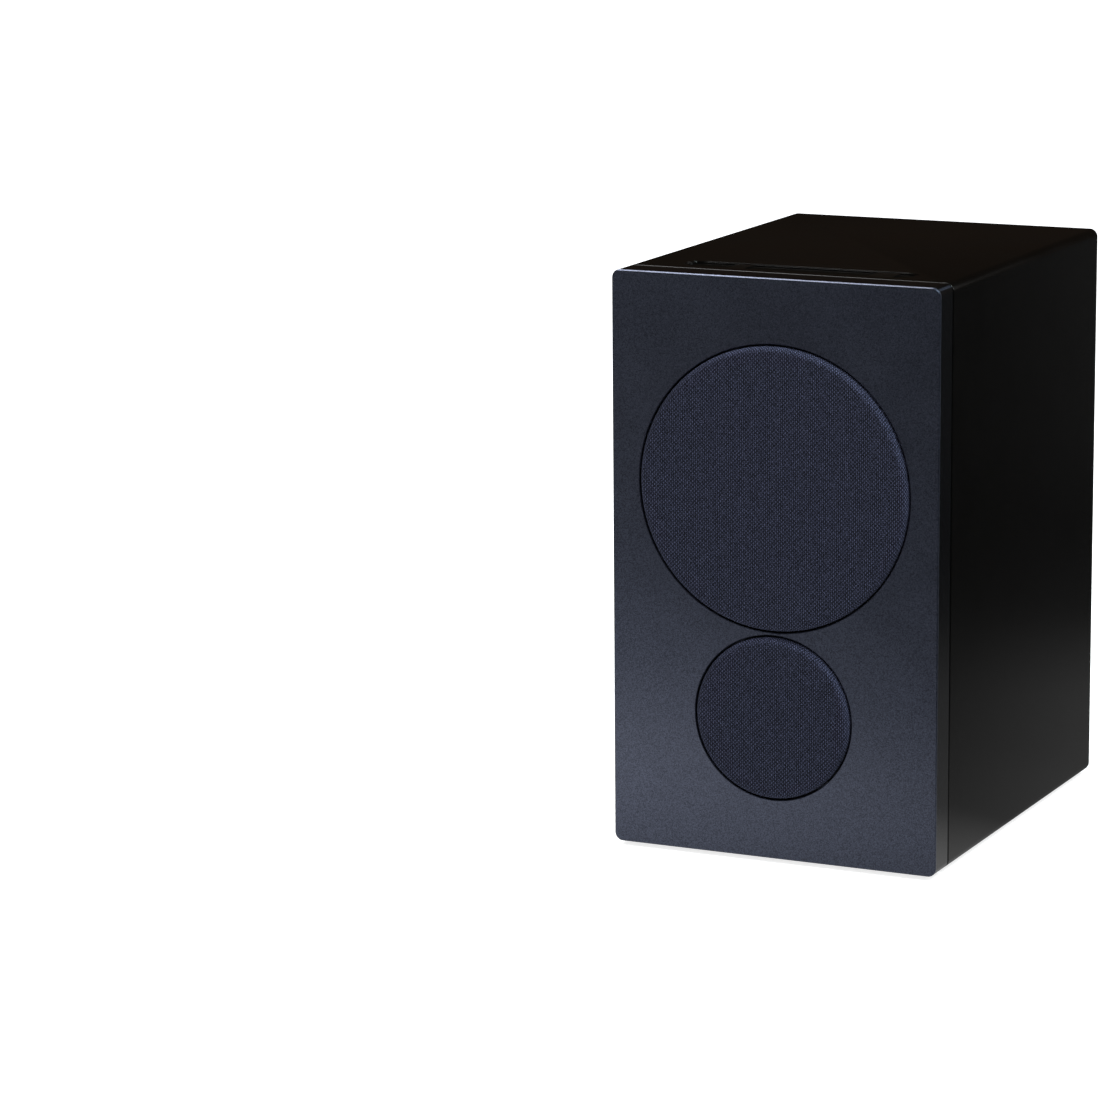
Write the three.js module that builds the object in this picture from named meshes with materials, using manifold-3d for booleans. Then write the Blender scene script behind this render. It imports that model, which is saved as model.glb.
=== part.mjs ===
// A powered two-way bookshelf speaker: a wrapped cabinet with a separate front baffle, a bass
// driver above a tweeter, each behind its own round cloth grille, a strip of keys let into the
// top, and an amplifier plate and a reflex port in the back.
// Millimetres. +X is to the right of someone facing the speaker, -Y is its front, +Z is up,
// and the feet stand on Z = 0.
import * as THREE from 'three';
import { mergeVertices } from 'three/addons/utils/BufferGeometryUtils.js';
import Module from 'manifold-3d';

const wasm = await Module();
wasm.setup();

// ---------------------------------------------------------------- driving sizes
const gap = 0.3;                 // between pieces that touch
const runClearance = 0.35;       // round a screw, a key or a button

const width = 184;
const height = 310;
const depth = 247;               // from the baffle's face to the cabinet's back
const wall = 12;
const cornerRound = 4.5;         // the long edges, seen from the front
const rearRound = 3.5;
const edgeChamfer = 1;
const baffleThickness = 18;
const seam = 1.2;                // the groove between the baffle and the cabinet
const gasketInset = 5;
const spigotClearance = 0.5;     // between the baffle's inner step and the cabinet's walls

const foot = { radius: 9, height: 2.5, inset: 24 };

const grilleProud = 2.5;         // how far the cloth stands in front of the baffle
const grilleGap = 1;             // the ring of air round a grille
const grilleBridge = 3.5;        // between the two grilles
const stackRise = -1.25;         // the pair's middle above the baffle's middle
const clothThickness = 0.6;
const shoulder = 3.5;            // the cloth's rounded edge
const grilleRim = 6.2;           // width of the grille frame's outer ring
const grilleSkirt = 4.2;         // how far a grille reaches behind the baffle's face

const woofer = {
  grilleRadius: 75.5, seatDepth: 17, seatWidth: 15.5, flange: 3.7, ledge: 11, travel: 4,
  screwRadius: 1.9, headRadius: 3.6, headHeight: 2.2, screwLength: 9, screws: 4,
  screwInset: 5, pegRadius: 1.5, pegs: 3, pegAngle: 45, spokes: 6,
  coilRadius: 12.9, coilWall: 0.5, windingWall: 0.8, rollRadius: 5, paper: 0.7,
  basketDepth: 37.7, magnetRadius: 46, magnetThickness: 17, plateRadius: 42, plateThickness: 5.7,
};
const tweeter = {
  grilleRadius: 43.5, seatDepth: 15, seatWidth: 6.5, flange: 4.2,
  screwRadius: 1.3, headRadius: 2.4, headHeight: 1.6, screwLength: 8, screws: 3,
  screwInset: 2.7, pegRadius: 1.1, pegs: 3, pegAngle: 30, spokes: 3,
  domeRadius: 12.5, domeRise: 4.5, skin: 0.5, throatRadius: 17, rollRadius: 1.85,
  magnetRadius: 34, magnetThickness: 8, plateRadius: 30, plateThickness: 3,
  cupRadius: 22, cupDepth: 15.7,
};

const strip = { length: 130, width: 18, setback: 36, rim: 1.5, depth: 3, sink: 0.3 };
const powerKey = { from: -64, to: -38 };       // places along the strip, from its middle
const volumeKey = { from: -29, to: 41 };
const sourceKey = { from: 54, to: 64 };
const keyTravel = 0.8;
const keySink = 0.5;             // the keys' tops below the bezel's
const keyThickness = strip.depth - keySink - keyTravel;     // a pressed key clears its tray
const keyHoleMargin = 2.5;       // from the bezel's edge to the hole through the top wall
const controlBoard = { drop: 9.5, thickness: 1.6, switchRadius: 2.2, switchHeight: 0.6 };

const port = { radius: 20, wall: 2.5, length: 100, mouth: 29, flange: 34, lip: 2, rise: 250 };

const plate = { width: 124, height: 150, thickness: 2.5, rise: 22, ledge: 8, corner: 5 };
const plateScrew = { radius: 1.3, headRadius: 2.7, headHeight: 1.5, length: 7, inset: 4.5 };
const rearProud = 9;             // the fins and the phono barrels behind the cabinet's back
const sink = { width: 92, height: 40, base: 3, fins: 13, fin: 1.6, drop: 4 };
const phono = { x: -36, z: 86, barrel: 4.15, bore: 1.7, pitch: 15, body: 12, flange: 1 };
const aux = { x: -8, z: 93.5, nut: 4.6, bore: 1.8, body: 3.6 };
const link = { x: -8, z: 72, flange: 10.5, body: 8.5, bore: 6.6, depth: 9, pin: 0.7, pinLength: 5 };
const channel = { x: 30, z: 72, knob: 3.4, knobHeight: 4, travel: 4, base: 7, baseLength: 17 };
const pairing = { x: 30, z: 93.5, radius: 2.7, proud: 1.3, flange: 4 };
const inlet = { x: -24, z: 28, width: 27, height: 19.6, wall: 1.9, depth: 16, pin: 10, flange: 2 };
const power = { x: 30, z: 28, radius: 8.5, width: 11.4, wall: 1.8, flange: 1.8, tilt: 12, seat: 4 };
const board = { width: 100, height: 134, thickness: 1.6, standOff: 32, post: 3, postInset: 5 };
const capacitor = { radius: 9, length: 22, pitch: 24 };
const transformer = { radius: 32, height: 30, bore: 9, clear: 6, round: 5 };

const blanket = { thickness: 8, from: 95, clear: 3 };
const leadRadius = 1.4;

// Sides of a round solid: a driver's rim, a middling ring, a small boss and a screw.
const sides = { rim: 32, ring: 20, boss: 12, screw: 6 };

// ---------------------------------------------------------------- places worked out from them
const frontY = -(grilleProud + depth + rearProud) / 2 + grilleProud;
const rearY = frontY + depth;
const bottomZ = foot.height;
const topZ = bottomZ + height;
const middleZ = bottomZ + height / 2;
const stackHeight = 2 * (woofer.grilleRadius + tweeter.grilleRadius) + grilleBridge;
const wooferZ = middleZ + stackRise + stackHeight / 2 - woofer.grilleRadius;
const tweeterZ = middleZ + stackRise - stackHeight / 2 + tweeter.grilleRadius;
const cabinetY = frontY + baffleThickness + seam;
const innerWidth = width - 2 * wall;
const innerHeight = height - 2 * wall;
const plateZ = bottomZ + plate.rise;
const stripY = frontY + strip.setback;
const boardY = rearY - board.standOff - board.thickness;      // the amplifier board's front face

// ---------------------------------------------------------------- solids
function solidOf(geometry) {
  const bare = geometry.clone();
  bare.deleteAttribute('normal');
  bare.deleteAttribute('uv');
  const merged = mergeVertices(bare, 1e-4);
  const corners = [];
  for (let i = 0; i < merged.index.count; i += 3) {
    const [a, b, c] = [0, 1, 2].map((k) => merged.index.getX(i + k));
    if (a !== b && b !== c && c !== a) corners.push(a, b, c);
  }
  const mesh = new wasm.Mesh({
    numProp: 3,
    vertProperties: new Float32Array(merged.attributes.position.array),
    triVerts: new Uint32Array(corners),
  });
  return new wasm.Manifold(mesh);
}

function geometryOf(solid) {
  const mesh = solid.getMesh();
  const geometry = new THREE.BufferGeometry();
  geometry.setAttribute('position', new THREE.BufferAttribute(mesh.vertProperties, 3));
  geometry.setIndex(new THREE.BufferAttribute(mesh.triVerts, 1));
  return geometry;
}

function cut(base, ...tools) {
  return geometryOf(tools.reduce((solid, tool) => solid.subtract(solidOf(tool)), solidOf(base)));
}

function join(base, ...others) {
  return geometryOf(others.reduce((solid, other) => solid.add(solidOf(other)), solidOf(base)));
}

function common(a, b) {
  return geometryOf(solidOf(a).intersect(solidOf(b)));
}

// A box given by its two corners.
function box(low, high) {
  const [w, d, h] = [0, 1, 2].map((k) => high[k] - low[k]);
  const [x, y, z] = [0, 1, 2].map((k) => (high[k] + low[k]) / 2);
  return new THREE.BoxGeometry(w, d, h).translate(x, y, z);
}

// A ring or a disc turned about the Y axis. The outline is [radius, y] points. One that doesn't
// both start and end on the axis is closed back to its first point.
function turned(outline, segments = sides.rim) {
  const points = outline.map(([radius, y]) => new THREE.Vector2(radius, y));
  if (THREE.ShapeUtils.isClockWise(points)) points.reverse();
  if (points[0].x > 0 || points.at(-1).x > 0) points.push(points[0].clone());
  return new THREE.LatheGeometry(points, segments);
}

// A cylinder along Y, from y0 to y1.
function rodY(radius, y0, y1, x = 0, z = 0, segments = sides.boss) {
  return turned([[0, y0], [radius, y0], [radius, y1], [0, y1]], segments).translate(x, 0, z);
}

// A cylinder along Z, from z0 to z1.
function rodZ(radius, z0, z1, x = 0, y = 0, segments = sides.boss) {
  const rod = new THREE.CylinderGeometry(radius, radius, z1 - z0, segments);
  return rod.rotateX(Math.PI / 2).translate(x, y, (z0 + z1) / 2);
}

// A rectangle with rounded corners, centred on (x, y).
function roundedRectangle(w, h, radius, x = 0, y = 0) {
  const shape = new THREE.Shape();
  const [a, b] = [w / 2 - radius, h / 2 - radius];
  shape.absarc(x + a, y + b, radius, 0, Math.PI / 2);
  shape.absarc(x - a, y + b, radius, Math.PI / 2, Math.PI);
  shape.absarc(x - a, y - b, radius, Math.PI, 1.5 * Math.PI);
  shape.absarc(x + a, y - b, radius, 1.5 * Math.PI, 2 * Math.PI);
  shape.closePath();
  return shape;
}

// An outline in X and Z, drawn out along Y from y0 to y1. Both rims can be rounded.
function slabY(shape, y0, y1, edge = 0, steps = 3) {
  const geometry = new THREE.ExtrudeGeometry(shape, {
    depth: y1 - y0 - 2 * edge, curveSegments: 5, bevelEnabled: edge > 0,
    bevelThickness: edge, bevelSize: edge, bevelOffset: -edge, bevelSegments: steps,
  });
  return geometry.translate(0, 0, -(y1 - edge)).rotateX(Math.PI / 2);
}

// An outline in X and Y, drawn out along Z from z0 to z1.
function slabZ(shape, z0, z1, edge = 0) {
  const geometry = new THREE.ExtrudeGeometry(shape, {
    depth: z1 - z0 - 2 * edge, curveSegments: 5, bevelEnabled: edge > 0,
    bevelThickness: edge, bevelSize: edge, bevelOffset: -edge, bevelSegments: 2,
  });
  return geometry.translate(0, 0, z0 + edge);
}

// Points on a part of a circle in a turned outline, at angles in degrees from +radius to +y.
function arc(centreR, centreY, radius, fromDegrees, toDegrees, steps) {
  return Array.from({ length: steps + 1 }, (_, i) => {
    const angle = THREE.MathUtils.degToRad(fromDegrees + (toDegrees - fromDegrees) * i / steps);
    return [centreR + radius * Math.cos(angle), centreY + radius * Math.sin(angle)];
  });
}

// The places of evenly spaced holes on a circle round the Y axis, as [x, z].
function onCircle(radius, count, firstDegrees) {
  return Array.from({ length: count }, (_, i) => {
    const angle = THREE.MathUtils.degToRad(firstDegrees) + i * 2 * Math.PI / count;
    return [radius * Math.cos(angle), radius * Math.sin(angle)];
  });
}

// A driver's screws and its grille's pegs stand on one circle, in from its rim's edge.
function screwPlaces(driver) {
  return onCircle(driver.grilleRadius - driver.screwInset, driver.screws, 0);
}

function pegPlaces(driver) {
  return onCircle(driver.grilleRadius - driver.screwInset, driver.pegs, driver.pegAngle);
}

// ---------------------------------------------------------------- the assembly
const speaker = new THREE.Group();
speaker.name = 'bookshelf_speaker';

function finish(color, roughness, metalness = 0) {
  return new THREE.MeshStandardMaterial({ color, roughness, metalness });
}

const finishes = {
  cabinetWrap: finish(0x17150f, 0.45),
  baffleLacquer: finish(0x23262b, 0.42),
  cloth: finish(0x1a1f28, 0.95),
  blackPlastic: finish(0x141414, 0.5),
  glossKey: finish(0x050505, 0.12),
  rubber: finish(0x111111, 0.85),
  paperCone: finish(0x1c1c1e, 0.7),
  silkDome: finish(0x222226, 0.6),
  castAlloy: finish(0x8a8c8f, 0.45, 0.9),
  steel: finish(0xa0a2a5, 0.35, 1),
  blackSteel: finish(0x1a1a1b, 0.4, 0.8),
  ferrite: finish(0x2b2b2d, 0.7),
  copper: finish(0xb06a3a, 0.3, 1),
  greenBoard: finish(0x0f4a2a, 0.5),
  foam: finish(0x3a3b3d, 1),
  spiderCloth: finish(0xb98b3c, 0.9),
};

function add(name, geometry, material, x = 0, y = 0, z = 0) {
  const mesh = new THREE.Mesh(geometry, material);
  mesh.name = name;
  mesh.position.set(x, y, z);
  speaker.add(mesh);
}

// ---------------------------------------------------------------- cabinet
function stadium(length, w) {
  return roundedRectangle(length, w, w / 2 - 0.5);
}

function plateOutline(margin) {
  return roundedRectangle(plate.width + 2 * margin, plate.height + 2 * margin,
    Math.max(plate.corner + margin, 1), 0, plateZ + plate.height / 2);
}

function plateScrewPlaces() {
  const across = plate.width / 2 - plateScrew.inset;
  const zs = [plateZ + plateScrew.inset, plateZ + plate.height - plateScrew.inset];
  return zs.flatMap((z) => [[-across, z], [across, z]]);
}

function cabinetShell() {
  const outline = roundedRectangle(width, height, cornerRound, 0, middleZ);
  const lipped = slabY(outline, cabinetY, rearY + 2 * rearRound, edgeChamfer, 1);
  const rounded = slabY(outline, cabinetY - 2 * rearRound, rearY, rearRound);
  const inside = box([-innerWidth / 2, cabinetY - 1, bottomZ + wall],
    [innerWidth / 2, rearY - wall, topZ - wall]);
  const rebate = slabY(plateOutline(gap), rearY - plate.thickness - gap, rearY + 1);
  const opening = slabY(plateOutline(-plate.ledge), rearY - wall - 1, rearY + 1);
  const pilots = plateScrewPlaces().map(([x, z]) => rodY(
    plateScrew.radius + runClearance, rearY - plateScrew.length - 1, rearY, x, z, sides.screw));
  const portHole = rodY(port.mouth + 1 + gap, rearY - wall - 1, rearY + 1,
    0, bottomZ + port.rise, sides.ring);
  const keyTray = slabZ(stadium(strip.length + 2 * gap, strip.width + 2 * gap),
    topZ - strip.depth - strip.sink - gap, topZ + 1).translate(0, stripY, 0);
  const keyHole = slabZ(
    stadium(strip.length - 2 * keyHoleMargin, strip.width - 2 * keyHoleMargin),
    topZ - wall - 1, topZ).translate(0, stripY, 0);
  return cut(common(lipped, rounded), inside, rebate, opening, ...pilots, portHole,
    keyTray, keyHole);
}

// The baffle has a step behind its rim that plugs into the cabinet, thick enough for the seats.
function frontBaffle() {
  const rim = slabY(roundedRectangle(width, height, cornerRound, 0, middleZ),
    0, baffleThickness, edgeChamfer, 2);
  const across = innerWidth / 2 - spigotClearance;
  const up = innerHeight / 2 - spigotClearance;
  const step = box([-across, baffleThickness - 2, middleZ - up],
    [across, woofer.seatDepth + woofer.ledge, middleZ + up]);
  const tools = [[woofer, wooferZ], [tweeter, tweeterZ]].flatMap(([driver, z]) => {
    const recess = driver.grilleRadius + grilleGap;
    const back = woofer.seatDepth + woofer.ledge + 1;
    const pilots = screwPlaces(driver).map(([x, dz]) => rodY(
      driver.screwRadius + runClearance, driver.seatDepth - 1,
      driver.seatDepth + driver.screwLength, x, z + dz, sides.screw));
    return [rodY(recess, -1, driver.seatDepth, 0, z, 2 * sides.rim),
      rodY(recess - driver.seatWidth, 0, back, 0, z, sides.rim), ...pilots];
  });
  return cut(join(rim, step), ...tools);
}

function baffleGasket() {
  const y0 = baffleThickness + gap;
  const y1 = baffleThickness + seam - gap;
  const outer = slabY(roundedRectangle(width - 2 * gasketInset, height - 2 * gasketInset, 2,
    0, middleZ), y0, y1);
  const across = innerWidth / 2 + gap;
  const up = innerHeight / 2 + gap;
  return cut(outer, box([-across, 0, middleZ - up], [across, 2 * y1, middleZ + up]));
}

function dampingBlanket() {
  const inner = [innerWidth / 2 - gap, topZ - wall - gap];
  const y0 = frontY + blanket.from;
  const y1 = rearY - wall - blanket.clear;
  const low = plateZ;
  const outer = box([-inner[0], y0, low], [inner[0], y1, inner[1]]);
  const t = blanket.thickness;
  return cut(outer, box([-inner[0] + t, y0 - 1, low - 1], [inner[0] - t, y1 + 1, inner[1] - t]));
}

// A moulded reflex tube whose mouth flares into a flange on the cabinet's back.
function portTube() {
  const face = rearY + gap + port.lip;
  const flareDepth = wall + gap + port.lip;
  const steps = 4;
  const flare = Array.from({ length: steps + 1 }, (_, i) => {
    const a = i / steps * Math.PI / 2;
    return [port.mouth - (port.mouth - port.radius) * Math.sin(a),
      face - flareDepth * (1 - Math.cos(a))];
  });
  return turned([...flare, [port.radius, rearY - port.length],
    [port.radius + port.wall, rearY - port.length],
    [port.radius + port.wall, rearY - wall - 1], [port.mouth + 1, rearY - wall - 1],
    [port.mouth + 1, rearY + gap], [port.flange, rearY + gap], [port.flange, face - 0.8],
    [port.flange - 1, face]], sides.ring);
}

add('cabinet_shell', cabinetShell(), finishes.cabinetWrap);
add('front_baffle', frontBaffle(), finishes.baffleLacquer, 0, frontY, 0);
add('baffle_gasket', baffleGasket(), finishes.rubber, 0, frontY, 0);
add('damping_blanket', dampingBlanket(), finishes.foam);
add('port_tube', portTube(), finishes.blackPlastic, 0, 0, bottomZ + port.rise);

const footPlaces = { front_left: [-1, -1], front_right: [1, -1], rear_left: [-1, 1],
  rear_right: [1, 1] };
for (const [place, [sx, sy]] of Object.entries(footPlaces)) {
  const y = (cabinetY + rearY) / 2 + sy * ((rearY - cabinetY) / 2 - foot.inset);
  add(`foot_${place}`, rodZ(foot.radius, 0, foot.height - gap), finishes.rubber,
    sx * (width / 2 - foot.inset), y, 0);
}

// ---------------------------------------------------------------- pieces both drivers share
// A pan-head screw along Y, its head in front of the face at y = 0.
function screw({ screwRadius, headRadius, headHeight, screwLength }, grip) {
  return turned([[0, -headHeight], [headRadius * 0.7, -headHeight],
    [headRadius, -headHeight * 0.5], [headRadius, 0], [screwRadius, 0],
    [screwRadius, grip + screwLength - 1], [0, grip + screwLength - gap]], sides.screw);
}

function addScrews(name, driver, z, face) {
  const seatGrip = driver.seatDepth - face - gap;
  screwPlaces(driver).forEach(([x, dz], i) => {
    add(`${name}_screw_${i + 1}`, screw(driver, seatGrip), finishes.blackSteel,
      x, frontY + face - gap, z + dz);
  });
}

// Holes through a driver's rim for its screws and for the grille's pegs.
function rimHoles(driver) {
  const holes = screwPlaces(driver).map(([x, z]) => rodY(
    driver.screwRadius + runClearance, 0, driver.seatDepth + 1, x, z, sides.screw));
  const sockets = pegPlaces(driver).map(([x, z]) => rodY(
    driver.pegRadius + runClearance, 0, driver.seatDepth + 1, x, z, sides.screw));
  return [...holes, ...sockets];
}

function grilleCloth(driver) {
  const r = driver.grilleRadius;
  const t = clothThickness;
  const outer = arc(r - shoulder, -grilleProud + shoulder, shoulder, 0, -90, 3);
  const inner = arc(r - shoulder, -grilleProud + shoulder, shoulder - t, -90, 0, 3);
  return turned([[r - t, grilleSkirt], [r, grilleSkirt], ...outer, [0, -grilleProud],
    [0, -grilleProud + t], ...inner], sides.rim);
}

// The moulded frame that the cloth is stretched over: a rim, spokes, rings and push-in pegs.
function grilleFrame(driver, rimFace, ringRadii) {
  const outer = driver.grilleRadius - clothThickness - gap;
  const inner = outer - grilleRim;
  const front = -grilleProud + clothThickness + gap;
  const bevel = shoulder - clothThickness;
  const rim = turned([[inner, front], [outer - bevel, front], [outer, front + bevel],
    [outer, grilleSkirt], [inner, grilleSkirt]]);
  const rings = ringRadii.map((r) => turned([[r - 1.5, front], [r + 1.5, front],
    [r + 1.5, front + 1.8], [r - 1.5, front + 1.8]], sides.boss));
  const spokes = Array.from({ length: driver.spokes }, (_, i) => box(
    [ringRadii[0], front, -1.5], [inner + 1, front + 1.8, 1.5],
  ).rotateY(i * 2 * Math.PI / driver.spokes));
  const pegs = pegPlaces(driver).map(([x, z]) => rodY(
    driver.pegRadius, grilleSkirt - 1, rimFace + driver.flange - 1, x, z, sides.screw));
  return join(rim, ...rings, ...spokes, ...pegs);
}

// ---------------------------------------------------------------- bass driver
const wooferRim = woofer.seatDepth - gap - woofer.flange;   // the rim's front face
const wooferNeck = woofer.grilleRadius + grilleGap - woofer.seatWidth - 1.5;
const basketBack = wooferRim + woofer.basketDepth;
const coneRadius = wooferNeck - 8;
const coneFace = wooferRim;
const coneDepth = 20;
const glueRim = 4;
const coilOuter = woofer.coilRadius + woofer.coilWall;
const neckRadius = coilOuter + gap;

function wooferBasket() {
  const thick = 2.2;
  const baseRadius = woofer.magnetRadius;
  const waist = woofer.seatDepth + 4.5;
  const inner = (y) => THREE.MathUtils.mapLinear(y, waist, basketBack - 3,
    wooferNeck - thick, baseRadius - thick);
  const shelf = basketBack - 10.4;
  const shelfRadius = woofer.plateRadius - 3.5;
  const bowl = turned([[wooferNeck - thick, wooferRim],
    [woofer.grilleRadius, wooferRim], [woofer.grilleRadius, wooferRim + woofer.flange],
    [wooferNeck, wooferRim + woofer.flange], [wooferNeck, waist], [baseRadius, basketBack - 3],
    [baseRadius, basketBack], [24, basketBack], [24, basketBack - 2.5],
    [inner(basketBack - 2.9), basketBack - 2.5], [inner(shelf + 2), shelf + 2],
    [shelfRadius, shelf + 2], [shelfRadius, shelf], [inner(shelf), shelf],
    [wooferNeck - thick, waist]]);
  const windows = Array.from({ length: 6 }, (_, i) => box(
    [baseRadius - 4, waist + 2, -14], [wooferNeck + 6, shelf - 2, 14],
  ).rotateY((i + 0.5) * Math.PI / 3));
  const terminal = box([-7, basketBack - 2, -baseRadius - 12], [7, basketBack, -baseRadius + 3]);
  return join(cut(bowl, ...windows, ...rimHoles(woofer)), terminal);
}

function wooferSurround() {
  const t = 0.9;
  const back = wooferRim - gap;
  const r = woofer.rollRadius;
  const middle = coneRadius + r;
  return turned([[coneRadius - glueRim, back], [coneRadius - glueRim, back - t],
    ...arc(middle, back - t, r, 180, 360, 6), [middle + r + 5, back - t], [middle + r + 5, back],
    ...arc(middle, back, r - t, 360, 180, 6)]);
}

function coneProfile(r) {
  const slope = (coneRadius - glueRim - r) / (coneRadius - glueRim - neckRadius);
  return coneFace + coneDepth * Math.max(slope, 0) ** 0.85;
}

function wooferCone() {
  const steps = 4;
  const radii = Array.from({ length: steps + 1 },
    (_, i) => THREE.MathUtils.lerp(coneRadius - glueRim, neckRadius, i / steps));
  const front = radii.map((r) => [r, coneProfile(r)]);
  const back = radii.map((r) => [r, coneProfile(r) + woofer.paper]).reverse();
  return turned([[coneRadius, coneFace], ...front, ...back, [coneRadius, coneFace + woofer.paper]]);
}

function wooferDustCap() {
  const edge = 19;
  const rise = 7;
  const t = 0.8;
  const sphere = (edge ** 2 + rise ** 2) / (2 * rise);
  const base = coneProfile(edge) - gap - t;
  const half = THREE.MathUtils.radToDeg(Math.asin(edge / sphere));
  const centre = base - rise + sphere;
  const outer = arc(0, centre, sphere, -90, -90 + half, 4);
  const inner = arc(0, centre, sphere - t, -90 + half, -90, 4);
  outer[0][0] = 0;
  inner.at(-1)[0] = 0;
  return turned([...outer, ...inner], sides.ring);
}

function wooferVoiceCoil() {
  const front = coneProfile(neckRadius) - 2;
  const winding = basketBack - 1.5;
  const windingEnd = winding + woofer.plateThickness + 2 * woofer.travel - 3;
  const outer = coilOuter + woofer.windingWall;
  return turned([[woofer.coilRadius, front], [coilOuter, front], [coilOuter, winding],
    [outer, winding], [outer, windingEnd], [woofer.coilRadius, windingEnd]], sides.ring);
}

function wooferSpider() {
  const t = 0.6;
  const outer = woofer.plateRadius - 0.5;
  const back = basketBack - 10.4 - gap;
  const folds = 8;
  const radii = Array.from({ length: folds + 1 },
    (_, i) => THREE.MathUtils.lerp(neckRadius + gap, outer - 3, i / folds));
  const wave = (i) => (i % 2 ? 1.3 : -1.3);
  const front = radii.map((r, i) => [r, back - 1.6 - t + wave(i)]);
  const rear = radii.map((r, i) => [r, back - 1.6 + wave(i)]).reverse();
  return turned([...front, [outer, back - t], [outer, back], ...rear], sides.ring);
}

function wooferTopPlate() {
  const y0 = basketBack + gap;
  const hole = coilOuter + woofer.windingWall + 0.9;
  return turned([[hole, y0], [woofer.plateRadius, y0],
    [woofer.plateRadius, y0 + woofer.plateThickness], [hole, y0 + woofer.plateThickness]],
  sides.ring);
}

const magnetFront = basketBack + woofer.plateThickness + 2 * gap;
const magnetBack = magnetFront + woofer.magnetThickness;

function wooferMagnet() {
  return turned([[20, magnetFront], [woofer.magnetRadius - 1, magnetFront],
    [woofer.magnetRadius, magnetFront + 1], [woofer.magnetRadius, magnetBack - 1],
    [woofer.magnetRadius - 1, magnetBack], [20, magnetBack]], sides.ring);
}

function wooferYoke() {
  const pole = woofer.coilRadius - 0.9;
  return turned([[0, basketBack - 2], [pole, basketBack - 2], [pole, magnetBack + gap],
    [woofer.plateRadius, magnetBack + gap], [woofer.plateRadius, magnetBack + gap + 4.7],
    [woofer.plateRadius - 1, magnetBack + gap + 5.7], [0, magnetBack + gap + 5.7]], sides.ring);
}

add('woofer_basket', wooferBasket(), finishes.castAlloy, 0, frontY, wooferZ);
add('woofer_surround', wooferSurround(), finishes.rubber, 0, frontY, wooferZ);
add('woofer_cone', wooferCone(), finishes.paperCone, 0, frontY, wooferZ);
add('woofer_dust_cap', wooferDustCap(), finishes.paperCone, 0, frontY, wooferZ);
add('woofer_voice_coil', wooferVoiceCoil(), finishes.copper, 0, frontY, wooferZ);
add('woofer_spider', wooferSpider(), finishes.spiderCloth, 0, frontY, wooferZ);
add('woofer_top_plate', wooferTopPlate(), finishes.steel, 0, frontY, wooferZ);
add('woofer_magnet', wooferMagnet(), finishes.ferrite, 0, frontY, wooferZ);
add('woofer_yoke', wooferYoke(), finishes.steel, 0, frontY, wooferZ);
addScrews('woofer', woofer, wooferZ, wooferRim);
add('woofer_grille_frame', grilleFrame(woofer, wooferRim, [13, 40]), finishes.blackPlastic,
  0, frontY, wooferZ);
add('woofer_grille_cloth', grilleCloth(woofer), finishes.cloth, 0, frontY, wooferZ);

// ---------------------------------------------------------------- tweeter
const tweeterRim = tweeter.seatDepth - gap - tweeter.flange;
const tweeterRimBack = tweeter.seatDepth - gap;
const domeBase = tweeterRimBack - 1.4;
const tweeterMagnetFront = tweeterRimBack + 2 * gap + tweeter.plateThickness;
const tweeterMagnetBack = tweeterMagnetFront + tweeter.magnetThickness;

function tweeterFaceplate() {
  const face = turned([[tweeter.throatRadius, domeBase], [tweeter.throatRadius + 19, tweeterRim],
    [tweeter.grilleRadius, tweeterRim], [tweeter.grilleRadius, tweeterRimBack],
    [tweeter.throatRadius, tweeterRimBack]]);
  return cut(face, ...rimHoles(tweeter));
}

function tweeterDome() {
  const { domeRadius, domeRise, skin } = tweeter;
  const sphere = (domeRadius ** 2 + domeRise ** 2) / (2 * domeRise);
  const half = THREE.MathUtils.radToDeg(Math.asin(domeRadius / sphere));
  const centre = domeBase - domeRise + sphere;
  const outer = arc(0, centre, sphere, -90, -90 + half, 4);
  const inner = arc(0, centre, sphere - skin, -90 + half, -90, 4);
  outer[0][0] = 0;
  inner.at(-1)[0] = 0;
  return turned([...outer, ...inner], sides.ring);
}

function tweeterSurround() {
  const middle = tweeter.throatRadius - runClearance - tweeter.rollRadius;
  const back = domeBase + 0.4;
  return turned([...arc(middle, back, tweeter.rollRadius, 180, 360, 4),
    ...arc(middle, back, tweeter.rollRadius - tweeter.skin, 360, 180, 4)], sides.ring);
}

function tweeterVoiceCoil() {
  const front = domeBase + tweeter.skin + gap;
  const back = tweeterRimBack + gap + tweeter.plateThickness + 1.5;
  return turned([[tweeter.domeRadius - 0.5, front], [tweeter.domeRadius, front],
    [tweeter.domeRadius, back], [tweeter.domeRadius - 0.5, back]], sides.ring);
}

function tweeterTopPlate() {
  const y0 = tweeterRimBack + gap;
  const hole = tweeter.domeRadius + 0.9;
  return turned([[hole, y0], [tweeter.plateRadius, y0],
    [tweeter.plateRadius, y0 + tweeter.plateThickness], [hole, y0 + tweeter.plateThickness]],
  sides.ring);
}

function tweeterMagnet() {
  const hole = tweeter.domeRadius + 3.5;
  return turned([[hole, tweeterMagnetFront], [tweeter.magnetRadius, tweeterMagnetFront],
    [tweeter.magnetRadius, tweeterMagnetBack], [hole, tweeterMagnetBack]], sides.ring);
}

function tweeterYoke() {
  const pole = tweeter.domeRadius - 1.4;
  const y0 = tweeterMagnetBack + gap;
  return turned([[0, tweeterRimBack + 0.8], [pole, tweeterRimBack + 0.8], [pole, y0],
    [tweeter.plateRadius, y0], [tweeter.plateRadius, y0 + 3.4], [0, y0 + 3.4]], sides.ring);
}

const cupFront = tweeterMagnetBack + 2 * gap + 3.4;

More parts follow.
